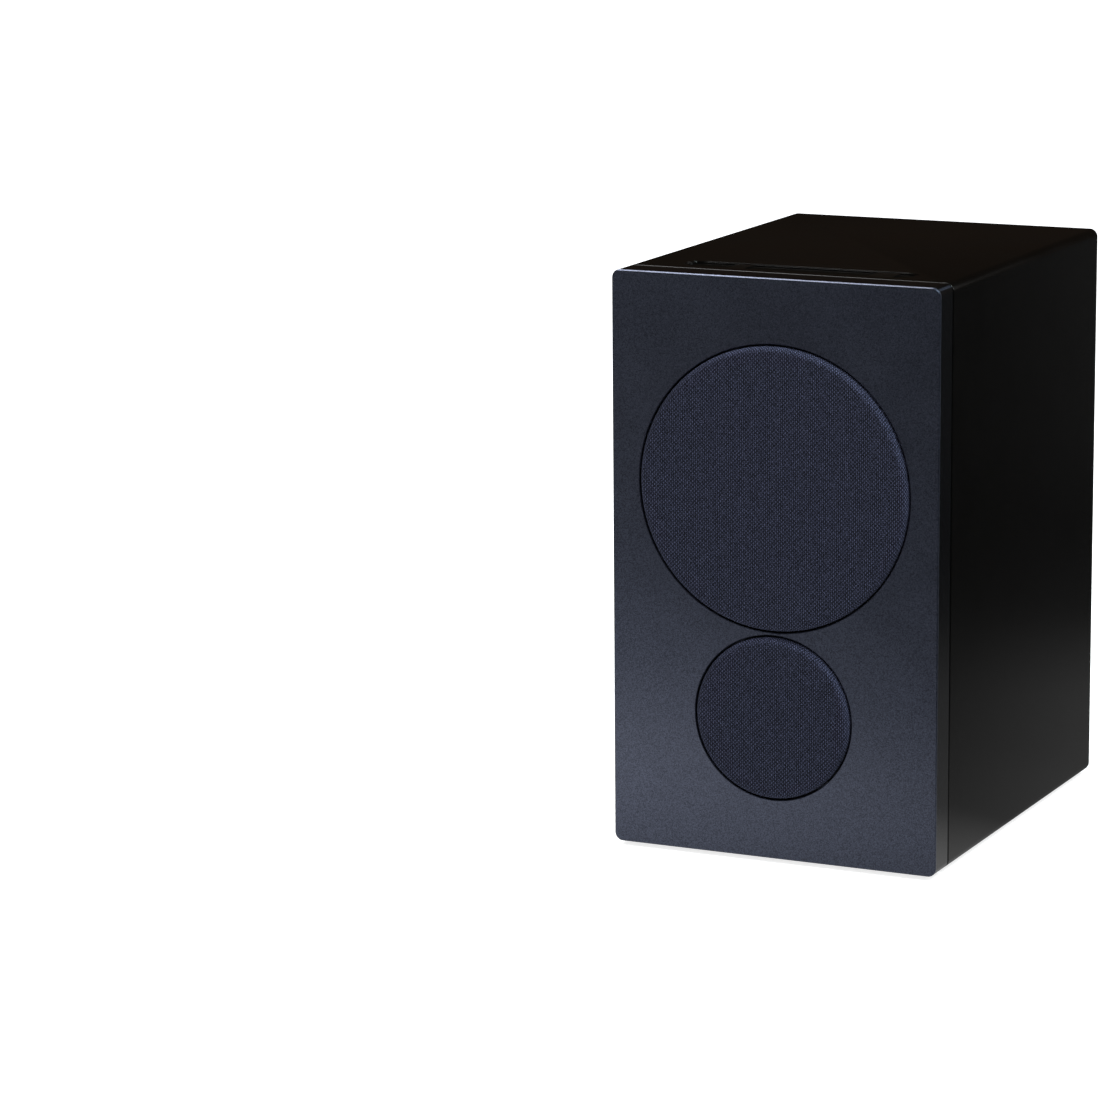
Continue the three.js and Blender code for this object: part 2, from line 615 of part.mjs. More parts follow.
function tweeterRearCup() {
  const { cupRadius, cupDepth } = tweeter;
  const back = cupFront + cupDepth;
  return turned([[0, back], [cupRadius - 2, back], [cupRadius, back - 2], [cupRadius, cupFront],
    [cupRadius - 2, cupFront], [cupRadius - 2, back - 2.5], [0, back - 2.5]], sides.ring);
}

add('tweeter_faceplate', tweeterFaceplate(), finishes.blackPlastic, 0, frontY, tweeterZ);
add('tweeter_dome', tweeterDome(), finishes.silkDome, 0, frontY, tweeterZ);
add('tweeter_surround', tweeterSurround(), finishes.rubber, 0, frontY, tweeterZ);
add('tweeter_voice_coil', tweeterVoiceCoil(), finishes.copper, 0, frontY, tweeterZ);
add('tweeter_top_plate', tweeterTopPlate(), finishes.steel, 0, frontY, tweeterZ);
add('tweeter_magnet', tweeterMagnet(), finishes.ferrite, 0, frontY, tweeterZ);
add('tweeter_yoke', tweeterYoke(), finishes.steel, 0, frontY, tweeterZ);
add('tweeter_rear_cup', tweeterRearCup(), finishes.blackPlastic, 0, frontY, tweeterZ);
addScrews('tweeter', tweeter, tweeterZ, tweeterRim);
add('tweeter_grille_frame', grilleFrame(tweeter, tweeterRim, [14]), finishes.blackPlastic,
  0, frontY, tweeterZ);
add('tweeter_grille_cloth', grilleCloth(tweeter), finishes.cloth, 0, frontY, tweeterZ);

// ---------------------------------------------------------------- key strip in the top
const bezelTop = topZ - strip.sink;
const bezelBottom = bezelTop - strip.depth;
const keyTop = bezelTop - keySink;
const keyWidth = strip.width - 2 * strip.rim;
const boardTop = topZ - controlBoard.drop;

// A key's outline: the strip's own inner outline between two places along it.
function keyOutline({ from, to }, clearance) {
  const inner = slabZ(stadium(strip.length - 2 * strip.rim - 2 * clearance,
    keyWidth - 2 * clearance), -10, 10);
  return common(inner, box([from + clearance, -strip.width, -9], [to - clearance, strip.width, 9]));
}

function keySlice(key, clearance, z0, z1) {
  const tall = keyOutline(key, clearance);
  return common(tall.scale(1, 1, 20), box([-strip.length, -strip.width, -100],
    [strip.length, strip.width, z1 - z0 - 100])).translate(0, 0, z0 + 100);
}

function controlBezel() {
  const outline = slabZ(stadium(strip.length, strip.width), bezelBottom, bezelTop, 0.4);
  const windows = [powerKey, volumeKey, sourceKey].map((key) => keySlice(key, 0,
    bezelBottom - 1, bezelTop + 1));
  return cut(outline, ...windows);
}

// A key with one stem, or two, that reach down to the switches on the board.
function key(place, stems) {
  const cap = keySlice(place, runClearance, keyTop - keyThickness, keyTop);
  const stemEnd = boardTop + controlBoard.switchHeight + keyTravel + 0.1;
  return join(cap, ...stems.map((x) => rodZ(1.8, stemEnd, keyTop - 1, x, 0, sides.screw)));
}

const middleOf = ({ from, to }) => (from + to) / 2;
const rockerReach = (volumeKey.to - volumeKey.from) / 2 - 7;
const volumeStems = [-1, 1].map((side) => middleOf(volumeKey) + side * rockerReach);
const switchPlaces = [middleOf(powerKey), ...volumeStems, middleOf(sourceKey) - 1];

function controlBoardSolid() {
  const half = strip.length / 2 - keyHoleMargin - 2.5;
  const flat = box([-half, -5, boardTop - controlBoard.thickness], [half, 5, boardTop]);
  const switches = switchPlaces.map((x) => rodZ(controlBoard.switchRadius, boardTop - 1,
    boardTop + controlBoard.switchHeight, x, 0, sides.screw));
  const bridges = [(powerKey.to + volumeKey.from) / 2, (volumeKey.to + sourceKey.from) / 2];
  const posts = bridges.map((x) => rodZ(2, boardTop - 1, bezelBottom - gap, x, 0, sides.screw));
  return join(flat, ...switches, ...posts);
}

add('control_bezel', controlBezel(), finishes.blackPlastic, 0, stripY, 0);
add('power_key', key(powerKey, [switchPlaces[0]]), finishes.glossKey, 0, stripY, 0);
add('volume_rocker', key(volumeKey, volumeStems), finishes.glossKey, 0, stripY, 0);
add('source_key', key(sourceKey, [switchPlaces[3]]), finishes.glossKey, 0, stripY, 0);
add('control_board', controlBoardSolid(), finishes.greenBoard, 0, stripY, 0);

// ---------------------------------------------------------------- amplifier plate and sockets
const plateBack = rearY - plate.thickness;
const onPlate = (place) => [place.x, plateZ + place.z];

// The inlet's outline: a rectangle with its two upper corners cut off.
function inletOutline(w, h) {
  const c = h * 0.3;
  const shape = new THREE.Shape();
  shape.moveTo(-w / 2, -h / 2);
  shape.lineTo(w / 2, -h / 2);
  shape.lineTo(w / 2, h / 2 - c);
  shape.lineTo(w / 2 - c, h / 2);
  shape.lineTo(-w / 2 + c, h / 2);
  shape.lineTo(-w / 2, h / 2 - c);
  shape.closePath();
  return shape;
}

function placedOnPlate(geometry, place) {
  const [x, z] = onPlate(place);
  return geometry.translate(x, 0, z);
}

const switchBody = [power.width + 2 * power.wall, 2 * (power.radius + power.wall)];

function amplifierPlate() {
  const flat = slabY(plateOutline(0), plateBack, rearY, 0.4, 1);
  const [y0, y1] = [plateBack - 1, rearY + 1];
  const phonoHole = box([-phono.body / 2 - gap, y0, -phono.pitch - gap],
    [phono.body / 2 + gap, y1, phono.pitch + gap]);
  const channelHalf = (channel.knob + channel.travel) / 2 + runClearance;
  const channelSlot = box([-channelHalf, y0, -channel.knobHeight / 2 - runClearance],
    [channelHalf, y1, channel.knobHeight / 2 + runClearance]);
  const switchHole = box([-switchBody[0] / 2 - gap, y0, -switchBody[1] / 2 - gap],
    [switchBody[0] / 2 + gap, y1, switchBody[1] / 2 + gap]);
  const screwHoles = plateScrewPlaces().map(([x, z]) => rodY(
    plateScrew.radius + runClearance, y0, y1, x, z, sides.screw));
  return cut(flat, placedOnPlate(phonoHole, phono),
    placedOnPlate(rodY(aux.body + gap, y0, y1), aux),
    placedOnPlate(rodY(link.body + gap, y0, y1, 0, 0, sides.ring), link),
    placedOnPlate(channelSlot, channel),
    placedOnPlate(rodY(pairing.radius + runClearance, y0, y1), pairing),
    placedOnPlate(slabY(inletOutline(inlet.width + 2 * gap, inlet.height + 2 * gap), y0, y1), inlet),
    placedOnPlate(switchHole, power), ...screwHoles);
}

// A comb of upright fins on a base plate.
function heatSink() {
  const y0 = rearY + gap;
  const y1 = rearY + rearProud;
  const pitch = (sink.width - sink.fin) / (sink.fins - 1);
  const shape = new THREE.Shape();
  shape.moveTo(-sink.width / 2, y0);
  shape.lineTo(sink.width / 2, y0);
  for (let i = sink.fins - 1; i >= 0; i -= 1) {
    const left = -sink.width / 2 + i * pitch;
    if (i < sink.fins - 1) shape.lineTo(left + sink.fin, y0 + sink.base);
    shape.lineTo(left + sink.fin, y1);
    shape.lineTo(left, y1);
    if (i > 0) shape.lineTo(left, y0 + sink.base);
  }
  shape.closePath();
  const top = plateZ + plate.height - sink.drop;
  return slabZ(shape, top - sink.height, top);
}

function phonoSockets() {
  const y0 = rearY + gap;
  const flange = slabY(roundedRectangle(phono.body + 4, 2 * phono.pitch + 4, 2), y0,
    y0 + phono.flange);
  const body = box([-phono.body / 2, rearY - 14, -phono.pitch],
    [phono.body / 2, y0 + 0.5, phono.pitch]);
  const ends = [-phono.pitch / 2, phono.pitch / 2];
  const barrels = ends.map((z) => rodY(phono.barrel, y0, rearY + rearProud, 0, z));
  const bores = ends.map((z) => rodY(phono.bore, y0 + 1.5, rearY + rearProud + 1, 0, z, sides.screw));
  return cut(join(flange, body, ...barrels), ...bores);
}

function auxSocket() {
  const nut = rodY(aux.nut, rearY + gap, rearY + 2, 0, 0, 6);
  const body = rodY(aux.body, rearY - 13, rearY + 2.6);
  return cut(join(nut, body), rodY(aux.bore, rearY - 11, rearY + 4, 0, 0, sides.screw));
}

function linkSocket() {
  const face = rearY + gap + 1.6;
  const flange = rodY(link.flange, rearY + gap, face, 0, 0, sides.ring);
  const body = rodY(link.body, rearY - 13, rearY + 1, 0, 0, sides.ring);
  const floor = face - link.depth;
  const recess = rodY(link.bore, floor, face + 1, 0, 0, sides.ring);
  const pins = onCircle(link.bore * 0.5, 4, 45).map(([x, z]) => rodY(
    link.pin, floor - 1, floor + link.pinLength, x, z, sides.screw));
  return join(cut(join(flange, body), recess), ...pins);
}

function mainsInlet() {
  const face = rearY + gap + inlet.flange;
  const floor = face - inlet.depth;
  const flange = slabY(roundedRectangle(inlet.width + 8, inlet.height + 5, 2), rearY + gap, face,
    0.4, 1);
  const body = slabY(inletOutline(inlet.width, inlet.height), floor - 2.5, rearY + 1);
  const recess = slabY(inletOutline(inlet.width - 2 * inlet.wall, inlet.height - 2 * inlet.wall),
    floor, face + 1);
  const pins = [[-7, -2], [0, 2], [7, -2]].map(([x, z]) => box([x - 1, floor - 1, z - 2],
    [x + 1, floor + inlet.pin, z + 2]));
  return join(cut(join(flange, body), recess), ...pins);
}

function powerSwitchFrame() {
  const face = rearY + gap + power.flange;
  const [w, h] = switchBody;
  const flange = slabY(roundedRectangle(w + 4, h + 4, 1.5), rearY + gap, face, 0.4, 1);
  const body = box([-w / 2, rearY - 17, -h / 2], [w / 2, rearY + 1, h / 2]);
  const pocket = box([-power.width / 2, rearY - 15, -power.radius - runClearance],
    [power.width / 2, face + 1, power.radius + runClearance]);
  return cut(join(flange, body), pocket);
}

// The rocker's sides are arcs about its pivot, so that they clear the frame at any tilt.
// It is drawn switched off, its lower half pressed in.
function powerRocker() {
  const { radius, width: w, tilt, seat } = power;
  const shape = new THREE.Shape();
  const corner = THREE.MathUtils.degToRad(20);
  const apex = radius * (Math.sin(corner) + Math.cos(corner) * Math.tan(
    THREE.MathUtils.degToRad(tilt)));
  shape.moveTo(0, apex);
  shape.lineTo(-radius * Math.cos(corner), radius * Math.sin(corner));
  shape.absarc(0, 0, radius, Math.PI - corner, Math.PI + corner);
  shape.lineTo(-2, -radius * 0.7);
  shape.lineTo(2, -radius * 0.7);
  shape.lineTo(radius * Math.cos(corner), -radius * Math.sin(corner));
  shape.absarc(0, 0, radius, -corner, corner);
  shape.closePath();
  const thick = w - 2 * runClearance;
  const solid = new THREE.ExtrudeGeometry(shape, {
    depth: thick, bevelEnabled: false, curveSegments: 6,
  });
  solid.translate(0, 0, -thick / 2);
  // The outline's x is the speaker's z, its y the way out of the back, its z the speaker's x.
  solid.applyMatrix4(new THREE.Matrix4().set(0, 0, 1, 0, 0, 1, 0, 0, 1, 0, 0, 0, 0, 0, 0, 1));
  turnInsideOut(solid);
  return solid.rotateX(-THREE.MathUtils.degToRad(tilt)).translate(0, rearY - seat, 0);
}

// A mirrored geometry has its faces pointing in. This turns them out again.
function turnInsideOut(geometry) {
  const p = geometry.attributes.position;
  const point = (i) => [p.getX(i), p.getY(i), p.getZ(i)];
  for (let i = 0; i < p.count; i += 3) {
    const [a, b] = [point(i + 1), point(i + 2)];
    p.setXYZ(i + 1, ...b);
    p.setXYZ(i + 2, ...a);
  }
}

function channelSlider() {
  const x = -channel.travel / 2;
  const back = plateBack - gap;
  const base = box([x - channel.baseLength / 2 + 2, back - 1.4, -channel.base / 2],
    [x + channel.baseLength / 2, back, channel.base / 2]);
  const knob = box([x - channel.knob / 2, back - 1, -channel.knobHeight / 2],
    [x + channel.knob / 2, rearY + 0.9, channel.knobHeight / 2]);
  return join(base, knob);
}

function pairingButton() {
  return turned([[0, rearY + pairing.proud], [pairing.radius - 0.4, rearY + pairing.proud],
    [pairing.radius, rearY + pairing.proud - 0.4], [pairing.radius, plateBack - gap],
    [pairing.flange, plateBack - gap], [pairing.flange, plateBack - gap - 1.5],
    [0, plateBack - gap - 1.5]], sides.boss);
}

function amplifierBoard() {
  const front = boardY;
  const back = front + board.thickness;
  const low = plateZ + (plate.height - board.height) / 2;
  const flat = box([-board.width / 2, front, low], [board.width / 2, back, low + board.height]);
  const across = board.width / 2 - board.postInset;
  const middle = low + board.height / 2;
  const up = board.height / 2 - board.postInset - plate.ledge;
  const posts = [-1, 1].flatMap((sx) => [-1, 1].map((sz) => rodY(board.post, back - 1,
    plateBack - gap, sx * across, middle + sz * up, sides.screw)));
  const capacitors = [-1, 1].map((side) => rodY(capacitor.radius, front - capacitor.length,
    back - 0.5, side * capacitor.pitch / 2, middle - up + 20));
  return join(flat, ...posts, ...capacitors);
}

function powerTransformer() {
  const { radius, height: h, bore, round } = transformer;
  const corner = (cx, cy, from) => arc(cx, cy, round, from, from + 90, 2);
  const ring = turned([...corner(radius - round, round, -90), ...corner(radius - round, h - round, 0),
    ...corner(bore + round, h - round, 90), ...corner(bore + round, round, 180)], sides.ring);
  return ring.rotateX(Math.PI / 2);
}

function plateScrewSolid() {
  const { radius, headRadius, headHeight, length } = plateScrew;
  return turned([[0, headHeight], [headRadius * 0.7, headHeight], [headRadius, headHeight * 0.5],
    [headRadius, 0], [radius, 0], [radius, -length + 1], [0, -length]], sides.screw);
}

add('amplifier_plate', amplifierPlate(), finishes.blackSteel);
add('heat_sink', heatSink(), finishes.blackSteel);
const sockets = { phono_sockets: [phonoSockets(), phono], aux_socket: [auxSocket(), aux],
  link_socket: [linkSocket(), link], mains_inlet: [mainsInlet(), inlet],
  power_switch_frame: [powerSwitchFrame(), power], power_switch_rocker: [powerRocker(), power],
  channel_slider: [channelSlider(), channel], pairing_button: [pairingButton(), pairing] };
for (const [name, [geometry, place]] of Object.entries(sockets)) {
  add(name, placedOnPlate(geometry, place), finishes.blackPlastic);
}
add('amplifier_board', amplifierBoard(), finishes.greenBoard);
add('power_transformer', powerTransformer(), finishes.copper,
  0, boardY - capacitor.length - transformer.clear - transformer.radius,
  bottomZ + wall + gap + transformer.height);
plateScrewPlaces().forEach(([x, z], i) => {
  add(`plate_screw_${i + 1}`, plateScrewSolid(), finishes.blackSteel, x, rearY + gap, z);
});

// ---------------------------------------------------------------- leads to the drivers
// A lead runs on one smooth curve from the amplifier board to a driver.
function lead(points) {
  const path = new THREE.CatmullRomCurve3(points.map((p) => new THREE.Vector3(...p)));
  const section = new THREE.Shape();
  section.absarc(0, 0, leadRadius, 0, 2 * Math.PI);
  return new THREE.ExtrudeGeometry(section, {
    steps: 20, extrudePath: path, curveSegments: 4, bevelEnabled: false,
  });
}

const boardFace = boardY - gap;
const wooferTerminal = [0, frontY + basketBack + gap, wooferZ - woofer.magnetRadius - 8];
const tweeterTerminal = [0, frontY + cupFront + tweeter.cupDepth + gap, tweeterZ];

add('woofer_lead', lead([wooferTerminal, [0, wooferTerminal[1] + 20, wooferTerminal[2] - 2],
  [12, wooferTerminal[1] + 60, wooferTerminal[2] - 12],
  [24, boardFace - 25, wooferTerminal[2] - 2], [28, boardFace, wooferTerminal[2]]]),
finishes.rubber);
add('tweeter_lead', lead([tweeterTerminal, [0, tweeterTerminal[1] + 20, tweeterTerminal[2] + 2],
  [-14, tweeterTerminal[1] + 55, tweeterTerminal[2] + 20],
  [-30, boardFace - 25, tweeterTerminal[2] + 38], [-34, boardFace, tweeterTerminal[2] + 40]]),
finishes.rubber);

export default speaker;
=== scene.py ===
# %% [markdown]
# # A powered bookshelf speaker, piece by piece
#
# The speaker is a black wrapped cabinet with a separate slate-coloured baffle in front.
# A large and a small round cloth grille hide a bass driver and a tweeter. A strip of keys
# lies in the top, and a reflex tube and an amplifier plate are in the back.
# The CAD model gives every piece its place and size. This lesson builds each one again
# with finer shapes and real finishes, and lets it ride on the CAD body it belongs to.

# %% Load the frame
import math

import bmesh
import bpy
from mathutils import Matrix, Vector


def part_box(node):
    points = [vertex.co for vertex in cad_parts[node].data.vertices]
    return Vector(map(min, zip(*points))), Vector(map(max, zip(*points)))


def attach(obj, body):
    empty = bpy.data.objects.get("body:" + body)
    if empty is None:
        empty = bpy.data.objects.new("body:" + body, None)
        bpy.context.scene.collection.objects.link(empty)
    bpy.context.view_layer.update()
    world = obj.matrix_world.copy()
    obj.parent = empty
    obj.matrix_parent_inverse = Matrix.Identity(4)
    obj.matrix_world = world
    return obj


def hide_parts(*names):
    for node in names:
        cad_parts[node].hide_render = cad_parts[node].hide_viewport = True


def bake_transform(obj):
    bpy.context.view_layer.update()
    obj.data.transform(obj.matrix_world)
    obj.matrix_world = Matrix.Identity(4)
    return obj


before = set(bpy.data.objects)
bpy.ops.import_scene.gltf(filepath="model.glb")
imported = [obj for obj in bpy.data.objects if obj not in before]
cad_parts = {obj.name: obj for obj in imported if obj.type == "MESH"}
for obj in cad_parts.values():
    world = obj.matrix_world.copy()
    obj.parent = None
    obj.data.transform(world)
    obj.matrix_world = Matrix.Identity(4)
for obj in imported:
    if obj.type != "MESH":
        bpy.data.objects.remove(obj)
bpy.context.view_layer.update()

# %% [markdown]
# ## Where things are
#
# Drawings of a speaker are in millimetres, and Blender works in metres. The drivers are
# drawn by radius and by depth behind the baffle's face, because a driver is turned on a
# lathe. All starting places come from the boxes of the CAD nodes, so that a piece can
# never drift away from the frame.

# %% Units and starting places
MM = 0.001


def low(node):
    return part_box(node)[0] / MM


def high(node):
    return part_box(node)[1] / MM


def middle(node):
    return (low(node) + high(node)) / 2


FACE = low("front_baffle").y          # the baffle's face
BACK = high("cabinet_shell").y        # the cabinet's back
WIDTH = high("cabinet_shell").x - low("cabinet_shell").x
BOTTOM = low("cabinet_shell").z
TOP = high("cabinet_shell").z
HEIGHT = TOP - BOTTOM
MIDDLE = (TOP + BOTTOM) / 2
BASS = middle("woofer_magnet").z      # height of the bass driver's axis
TREBLE = middle("tweeter_magnet").z   # height of the tweeter's axis
print("face", round(FACE, 2), "back", round(BACK, 2), "axes", round(BASS, 1), round(TREBLE, 1))

# %% [markdown]
# ## Outlines
#
# Nothing made in a factory has a perfectly sharp corner: a moulding, a casting and a
# routed board all have a small radius that catches the light. So every outline is drawn
# with its corners first and then each corner is softened. A quadratic curve between two
# points set back from the corner is enough for such small radii.


# %% Soften the corners of an outline
def spread(first, last, count):
    """Evenly spaced numbers, both ends included."""
    return [first + (last - first) * i / (count - 1) for i in range(count)]


def softened(points, radius, closed=True, steps=4):
    """Rounds each corner. A point may carry a third number, its own radius."""
    out = []
    count = len(points)
    for i, point in enumerate(points):
        corner = Vector(point[:2])
        own = point[2] if len(point) > 2 else radius
        if own <= 0 or (not closed and i in (0, count - 1)):
            out.append(tuple(corner))
            continue
        before, after = Vector(points[i - 1][:2]), Vector(points[(i + 1) % count][:2])
        back = min(own, (before - corner).length * 0.45)
        ahead = min(own, (after - corner).length * 0.45)
        start = corner + (before - corner).normalized() * back
        end = corner + (after - corner).normalized() * ahead
        for k in range(steps + 1):
            t = k / steps
            out.append(tuple(start * (1 - t) ** 2 + corner * 2 * t * (1 - t) + end * t * t))
    return out


def arc(centre_a, centre_b, radius, first, last, steps):
    """Points on an arc, from one angle in degrees to another."""
    angles = [math.radians(angle) for angle in spread(first, last, steps + 1)]
    return [(centre_a + radius * math.cos(a), centre_b + radius * math.sin(a)) for a in angles]


def round_box(width, height, radius, a=0.0, b=0.0, steps=8):
    """A rectangle with round corners, about the point (a, b)."""
    x, y = width / 2 - radius, height / 2 - radius
    turns = ((x, y, 0), (-x, y, 90), (-x, -y, 180), (x, -y, 270))
    return [p for cx, cy, first in turns
            for p in arc(a + cx, b + cy, radius, first, first + 90, steps)]


def on_circle(radius, count, first):
    """Evenly spaced places on a circle, as (x, z)."""
    return [(radius * math.cos(math.radians(first + 360 * i / count)),
             radius * math.sin(math.radians(first + 360 * i / count))) for i in range(count)]


print("a softened square has", len(softened([(0, 0), (1, 0), (1, 1), (0, 1)], 0.1)), "points")

# %% [markdown]
# ## From outline to solid
#
# Three ways make nearly all of the speaker. A turned solid sweeps an outline round an
# axis, as a lathe does, and suits cones, magnets, tubes and screws. A slab stacks copies
# of a flat outline, slightly smaller at its ends, which gives boards and flanges their
# eased edges. An extrusion gives a comb or a bracket. Modifiers could do the same, but
# plain meshes are exact and quick.


# %% Make a piece from points and faces
def piece(name, points, faces, crease=35):
    """A mesh object whose points are in millimetres, smooth but for its sharp edges."""
    mesh = bpy.data.meshes.new(name)
    mesh.from_pydata([Vector(p) * MM for p in points], [], faces)
    work = bmesh.new()
    work.from_mesh(mesh)
    bmesh.ops.remove_doubles(work, verts=work.verts, dist=1e-7)
    bmesh.ops.recalc_face_normals(work, faces=work.faces)
    work.to_mesh(mesh)
    work.free()
    made = bpy.data.objects.new(name, mesh)
    bpy.context.scene.collection.objects.link(made)
    return shaded(made, crease)


def shaded(made, crease=35):
    made.data.shade_smooth()
    made.data.set_sharp_from_angle(angle=math.radians(crease))
    return made


# %% Turned solids
def axis_place(axis, radius, angle, along, centre):
    """A point at a radius and an angle round an axis, and some way along it."""
    u, v = radius * math.cos(angle), radius * math.sin(angle)
    if axis == "Y":
        return (centre[0] + u, along, centre[1] + v)
    return (centre[0] + u, centre[1] + v, along)


def turned(name, outline, centre, axis="Y", sides=128, crease=35, closed=None):
    """Sweeps an outline of (radius, place along the axis) round the axis."""
    closed = outline[0][0] > 1e-6 if closed is None else closed
    points, rings = [], []
    for radius, along in outline:
        if radius < 1e-6:
            rings.append([len(points)] * sides)
            points.append(axis_place(axis, 0, 0, along, centre))
            continue
        rings.append(list(range(len(points), len(points) + sides)))
        points += [axis_place(axis, radius, 2 * math.pi * i / sides, along, centre)
                   for i in range(sides)]
    faces = []
    pairs = list(zip(rings, rings[1:])) + ([(rings[-1], rings[0])] if closed else [])
    for one, two in pairs:
        for i in range(sides):
            j = (i + 1) % sides
            corners = list(dict.fromkeys((one[i], one[j], two[j], two[i])))
            if len(corners) > 2:
                faces.append(corners)
    return piece(name, points, faces, crease)


# %% Slabs and extrusions
def stood(axis, a, b, along):
    return {"X": (along, a, b), "Y": (a, along, b), "Z": (a, b, along)}[axis]


def lofted(name, layers, axis="Y", crease=35):
    """Joins flat outlines of the same number of points and closes both ends."""
    points = [stood(axis, a, b, along) for outline, along in layers for a, b in outline]
    n = len(layers[0][0])
    faces = [list(range(n)), list(range(len(points) - n, len(points)))]
    for k in range(len(layers) - 1):
        for i in range(n):
            j = (i + 1) % n
            faces.append([k * n + i, k * n + j, (k + 1) * n + j, (k + 1) * n + i])
    return piece(name, points, faces, crease)


def extruded(name, outline, start, end, axis="Y", crease=35):
    return lofted(name, [(outline, start), (outline, end)], axis, crease)


def slab(name, size, corner, centre, start, end, eases=(0.4, 0.4), axis="Y", steps=4):
    """A board with round corners whose front and back edges are eased by their own radii."""
    def layer(inset, along):
        return (round_box(size[0] - 2 * inset, size[1] - 2 * inset,
                          max(corner - inset, 0.05), *centre), along)
    front, back = eases
    quarter = spread(0, math.pi / 2, steps + 1)
    layers = [layer(front * (1 - math.sin(q)), start + front * (1 - math.cos(q)))
              for q in quarter] if front else [layer(0, start)]
    layers += [layer(back * (1 - math.cos(q)), end - back * (1 - math.sin(q)))
               for q in quarter] if back else [layer(0, end)]
    return lofted(name, layers, axis)


# %% [markdown]
# ## Cutting and joining
#
# A recess, a screw hole or a socket's bore is cut on the real piece with a router or a
# core in the mould. Here the tool is a second solid and a Boolean modifier takes it away.
# The exact solver keeps flat faces flat. The result is turned into plain mesh at once, so
# that later steps see the real surface, and the tools are thrown away.


# %% Boolean helpers
def settled(made):
    """Turns an object's modifiers into plain mesh."""
    graph = bpy.context.evaluated_depsgraph_get()
    mesh = bpy.data.meshes.new_from_object(made.evaluated_get(graph))
    made.modifiers.clear()
    made.data = mesh
    return made


def combined(made, tools, operation):
    for tool in tools:
        step = made.modifiers.new(operation.lower(), "BOOLEAN")
        step.operation, step.object, step.solver = operation, tool, "EXACT"
        settled(made)
        bpy.data.objects.remove(tool)
    return shaded(made)


def cut(made, *tools):
    return combined(made, tools, "DIFFERENCE")


def fused(made, *tools):
    return combined(made, tools, "UNION")


def gathered(name, parts):
    """Parts that only touch or overlap become one mesh without cutting."""
    work = bmesh.new()
    for part in parts:
        work.from_mesh(part.data)
        bpy.data.objects.remove(part)
    mesh = bpy.data.meshes.new(name)
    work.to_mesh(mesh)
    work.free()
    made = bpy.data.objects.new(name, mesh)
    bpy.context.scene.collection.objects.link(made)
    return shaded(made)


def rod(radius, start, end, centre, axis="Y", sides=32, ease=0.0):
    outline = [(0, start), (radius, start, ease), (radius, end, ease), (0, end)]
    return turned("tool", softened(outline, 0, closed=False), centre, axis, sides)


def block(lowest, highest):
    (x0, y0, z0), (x1, y1, z1) = lowest, highest
    return extruded("tool", [(x0, z0), (x1, z0), (x1, z1), (x0, z1)], y0, y1)


def eased(made, width, steps=2):
    """A narrow bevel on sharp edges, for pieces cut with tools."""
    step = made.modifiers.new("eased edges", "BEVEL")
    step.width, step.segments = width * MM, steps
    step.limit_method, step.angle_limit = "ANGLE", math.radians(40)
    step.use_clamp_overlap, step.harden_normals = True, True
    return made


# %% [markdown]
# ## Finishes
#
# Every material is a small network of nodes, worked out from the place on the piece and
# not from an image. A noise at the size of the real grain shifts the colour a little and
# gives the surface its relief in real millimetres. A second, broad noise shifts the
# roughness over a few centimetres. Object coordinates are used, so a finish stays with
# its piece when a joint moves.


# %% Node helpers
def nodes_of(name):
    material = bpy.data.materials.new(name)
    material.use_nodes = True
    tree = material.node_tree
    shader = tree.nodes["Principled BSDF"]
    place = tree.nodes.new("ShaderNodeTexCoord").outputs["Object"]
    return material, tree, shader, place


def noise(tree, place, size, detail=3.0, stretch=(1, 1, 1), roughness=0.55):
    """Noise whose patches are about that many millimetres across."""
    mapping = tree.nodes.new("ShaderNodeMapping")
    mapping.inputs["Scale"].default_value = stretch
    tree.links.new(place, mapping.inputs["Vector"])
    node = tree.nodes.new("ShaderNodeTexNoise")
    node.inputs["Scale"].default_value = 1 / (size * MM)
    node.inputs["Detail"].default_value = detail
    node.inputs["Roughness"].default_value = roughness
    tree.links.new(mapping.outputs["Vector"], node.inputs["Vector"])
    return node.outputs["Fac"]


def ramp(tree, value, stops):
    node = tree.nodes.new("ShaderNodeValToRGB")
    while len(node.color_ramp.elements) < len(stops):
        node.color_ramp.elements.new(0.5)
    for element, (where, colour) in zip(node.color_ramp.elements, stops):
        element.position = where
        element.color = (*colour, 1)
    tree.links.new(value, node.inputs["Fac"])
    return node.outputs["Color"]


def between(tree, value, lowest, highest, start=0.0, end=1.0):
    node = tree.nodes.new("ShaderNodeMapRange")
    for socket, number in zip(("From Min", "From Max", "To Min", "To Max"),
                              (start, end, lowest, highest)):
        node.inputs[socket].default_value = number
    tree.links.new(value, node.inputs["Value"])
    return node.outputs["Result"]


def relief(tree, shader, height, depth, before=None):
    """Bumps of a depth in millimetres, on top of any relief before."""
    node = tree.nodes.new("ShaderNodeBump")
    node.inputs["Distance"].default_value = depth * MM
    node.inputs["Strength"].default_value = 1.0
    tree.links.new(height, node.inputs["Height"])
    if before is not None:
        tree.links.new(before, node.inputs["Normal"])
    tree.links.new(node.outputs["Normal"], shader.inputs["Normal"])
    return node.outputs["Normal"]


def joined(tree, operation, *values):
    """A number worked out from plain numbers and from other nodes' outputs."""
    node = tree.nodes.new("ShaderNodeMath")
    node.operation = operation
    for socket, value in zip(node.inputs, values):
        if isinstance(value, (int, float)):
            socket.default_value = value
        else:
            tree.links.new(value, socket)
    return node.outputs["Value"]


def parted(tree, place):
    """The X, Y and Z of a place."""
    node = tree.nodes.new("ShaderNodeSeparateXYZ")
    tree.links.new(place, node.inputs[0])
    return node.outputs


